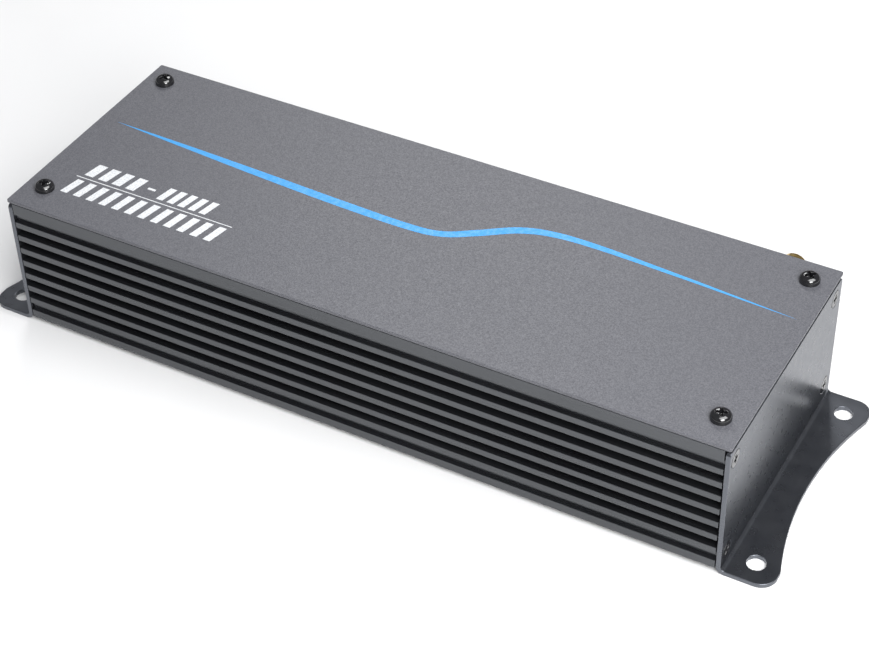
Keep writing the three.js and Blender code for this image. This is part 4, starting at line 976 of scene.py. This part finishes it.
CLAMP, CLAMP_SLOT_WIDE, CLAMP_SLOT_DEEP = 0.0021, 0.0008, 0.0012
TROUGH_SHEET, TROUGH_PLAY, TROUGH_NEAR, TROUGH_FAR = 0.0005, 0.0001, 0.0008, 0.0135
MOUTH_LIFT = 0.003      # mouths above the board
for block, poles, mouth in (("speaker", 2, 0.007), ("power", 3, 0.008)):
    node = f"{block}_terminal_block"
    eased(node, f"{block}_terminal_housing", "black_moulding", [moulded_black], 0.00025)
    face, mouth_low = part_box(node)[1].y, board_top + MOUTH_LIFT
    work = bmesh.new()
    for pole in range(poles):
        screw = f"{block}_clamp_screw_{pole + 1}"
        x, half = middle(screw).x, mouth / 2 - TROUGH_PLAY
        near, far = face - TROUGH_NEAR, face - TROUGH_FAR
        add_block(work, x - half + TROUGH_SHEET / 2, x + half - TROUGH_SHEET / 2, far, near,
            mouth_low + TROUGH_PLAY, mouth_low + TROUGH_SHEET, 0, 0.0001)
        for side in (-1, 1):
            wall = x + side * (half - TROUGH_SHEET / 2)
            add_block(work, wall - TROUGH_SHEET / 2, wall + TROUGH_SHEET / 2, far, near,
                mouth_low + TROUGH_PLAY / 2, mouth_low + mouth - 0.0004, 0, 0.0001)
        low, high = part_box(screw)
        long = high.z - low.z
        blank = lathe("clamp", [(0, -long), (0.62 * CLAMP, -long), (0.7 * CLAMP, 0.0003 - long),
            (0.7 * CLAMP, 0.0012 - long), (CLAMP, 0.0018 - long), (CLAMP, -0.00025),
            (CLAMP - 0.00025, 0), (0, 0)], 56)
        slot_tool = block_mesh(-0.003, 0.003, -CLAMP_SLOT_WIDE / 2, CLAMP_SLOT_WIDE / 2,
            -CLAMP_SLOT_DEEP, 0.001)
        drive(screw, screw + "_turned", "zinc_screw", carved(blank, slot_tool), bright_zinc,
            (0, 0, 1), turns.uniform(0, 3))
    piece_from(work, f"{block}_wire_troughs", [brass], "gilt")

# ---- Power transistors ----
# Four flat-pack transistors stand against the front wall, which cools them. A plated steel bar
# and two screws press them to it, and their tinned leads reach down to the board.

PACK_TALL = 0.018
for number in (1, 2, 3, 4):
    node = f"power_transistor_{number}"
    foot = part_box(node)[1].z - PACK_TALL
    eased(node, f"transistor_{number}_pack", "epoxy", [chip_black, tinned], 0.00015,
        lambda centre: 1 if centre.z < foot - 0.0001 else 0)
eased("transistor_clamp_bar", "clamp_bar_plated", "plated_case", [plated_can], 0.0002)
bar_screw = pan_head(**SMALL_SCREW, long=0.009)
for number in (1, 2):
    node = f"clamp_bar_screw_{number}"
    drive(node, node + "_turned", "zinc_screw", bar_screw, bright_zinc, (0, 1, 0),
        turns.uniform(0, 1.5))

# ---- Transformer and inductor ----
# Enamelled copper wire is wound by hand round ferrite rings: a large one for the supply and a
# small one for the output. Each lies flat and is soldered to the board.

enamelled, tree, shader = new_finish("enamelled_copper")
tree.links.new(tint(tree, mottle(tree, 300, 3), (0.50, 0.14, 0.045), (0.66, 0.21, 0.07)),
    shader.inputs["Base Color"])
tree.links.new(between(tree, mottle(tree, 700, 3), 0.20, 0.34), shader.inputs["Roughness"])
shader.inputs["Metallic"].default_value = 0.85
shader.inputs["Coat Weight"].default_value = 0.6
shader.inputs["Coat Roughness"].default_value = 0.15
relief(tree, shader, mottle(tree, 1500, 2), 0.000006)
ferrite = new_moulding("ferrite_grey", (0.045, 0.05, 0.052), (0.075, 0.08, 0.085), 0.55)


CORE_ROUND, CORE_PLAY, LOOP_ROUND = 0.0016, 0.0002, 0.0028
WOUND_SHARE = 0.94      # of the way round the ring


def wound_ring(node, name, hole, wire_radius, turns_round):
    """A ring core with one even winding, inside the CAD ring."""
    low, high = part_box(node)
    hub = (low + high) / 2
    outer = (high.x - low.x) / 2
    inset = 2 * wire_radius + CORE_PLAY
    core = [(hole + inset, low.z + inset + CORE_ROUND), (hole + inset + CORE_ROUND, low.z + inset),
        (outer - inset - CORE_ROUND, low.z + inset), (outer - inset, low.z + inset + CORE_ROUND),
        (outer - inset, high.z - inset - CORE_ROUND), (outer - inset - CORE_ROUND, high.z - inset),
        (hole + inset + CORE_ROUND, high.z - inset), (hole + inset, high.z - inset - CORE_ROUND)]
    mesh = lathe(name + "_core", core + [core[0]], 72)
    mesh.set_sharp_from_angle(angle=math.radians(50))
    mesh.materials.append(ferrite)
    ring = keep_in_scene(name + "_core", mesh)
    ring.location = (hub.x, hub.y, 0)
    fitted(ring, "enamelled_copper", node)
    loop = [(hole + wire_radius, 0.14), (hole + wire_radius, 0.86), (hole + LOOP_ROUND, 1),
        (outer - LOOP_ROUND, 1), (outer - wire_radius, 0.86), (outer - wire_radius, 0.14),
        (outer - LOOP_ROUND, 0), (hole + LOOP_ROUND, 0)]
    tall = high.z - low.z - 2 * wire_radius
    loop = smooth_through(loop + [loop[0]], 3)[:-1]
    run = []
    for step in range(turns_round * len(loop)):
        radius, share = loop[step % len(loop)]
        share = min(max(share, 0), 1)
        radius = min(max(radius, hole + wire_radius), outer - wire_radius)
        turn = 2 * math.pi * WOUND_SHARE * step / (turns_round * len(loop))
        run.append((hub.x + radius * math.cos(turn), hub.y + radius * math.sin(turn),
            low.z + wire_radius + share * tall))
    wire(name + "_winding", "enamelled_copper", [run], wire_radius, enamelled, sides=2)


wound_ring("supply_transformer", "transformer", hole=0.0075, wire_radius=0.00052, turns_round=40)
wound_ring("output_inductor", "inductor", hole=0.0055, wire_radius=0.0005, turns_round=30)

# ---- Filter capacitors ----
# Two aluminium cans in black shrunk sleeves smooth the supply. The sleeve folds over the rim and
# leaves the scored top bare, and a grey band marks the negative lead.

sleeve_black = new_moulding("sleeve_black", (0.014, 0.016, 0.022), (0.024, 0.027, 0.036), 0.22)
band_grey = new_moulding("band_grey", (0.42, 0.43, 0.44), (0.52, 0.53, 0.54), 0.3)
BAND_HALF, BAND_FOOT, BAND_HEAD = 0.35, 0.006, 0.0015
band_turns = [BAND_HALF * (step / 4 - 1) for step in range(9)]
TOP_EDGE = 0.0025
for number in (1, 2):
    node = f"filter_capacitor_{number}"
    low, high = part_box(node)
    hub, can = middle(node), (high.x - low.x) / 2
    tall = high.z - low.z
    sleeve = lathe("sleeve", [(0, 0), (can - 0.0009, 0), (can - 0.0003, 0.0002), (can, 0.0007),
        (can, 0.0030), (can - 0.0003, 0.0035), (can - 0.0007, 0.0040), (can - 0.0003, 0.0045),
        (can, 0.0050), (can, tall - 0.0010), (can - 0.0003, tall - 0.0003),
        (can - 0.0010, tall), (can - 0.0022, tall - 0.0001), (can - 0.0024, tall - 0.0004),
        (0, tall - 0.0004)], 72)
    sleeve.set_sharp_from_angle(angle=math.radians(50))
    sleeve.materials.append(sleeve_black)
    piece = keep_in_scene(f"capacitor_{number}_sleeve", sleeve)
    piece.location = (hub.x, hub.y, low.z)
    fitted(piece, "can_sleeve", node)
    top = carved(lathe("top", [(0, 0), (can - TOP_EDGE, 0), (can - TOP_EDGE, 0.0002),
        (can - TOP_EDGE - 0.0002, 0.0003), (0, 0.0003)], 64),
        block_mesh(-0.005, 0.005, -0.0001, 0.0001, 0.0002, 0.001),
        block_mesh(-0.0001, 0.0001, -0.005, 0.005, 0.0002, 0.001))
    top.materials.clear()
    top.materials.append(tinned)
    piece = keep_in_scene(f"capacitor_{number}_top", top)
    piece.location = (hub.x, hub.y, high.z - 0.0004)
    fitted(piece, "can_sleeve", body="amplifier")
    foot, head = low.z + BAND_FOOT, high.z - BAND_HEAD
    patches = [((a, foot), (b, foot), (b, head), (a, head))
        for a, b in zip(band_turns, band_turns[1:])]
    printed(f"capacitor_{number}_band", "can_sleeve", patches, lambda a, z, w: (
        hub.x + (can + w) * math.sin(a), hub.y + (can + w) * math.cos(a), z), band_grey)
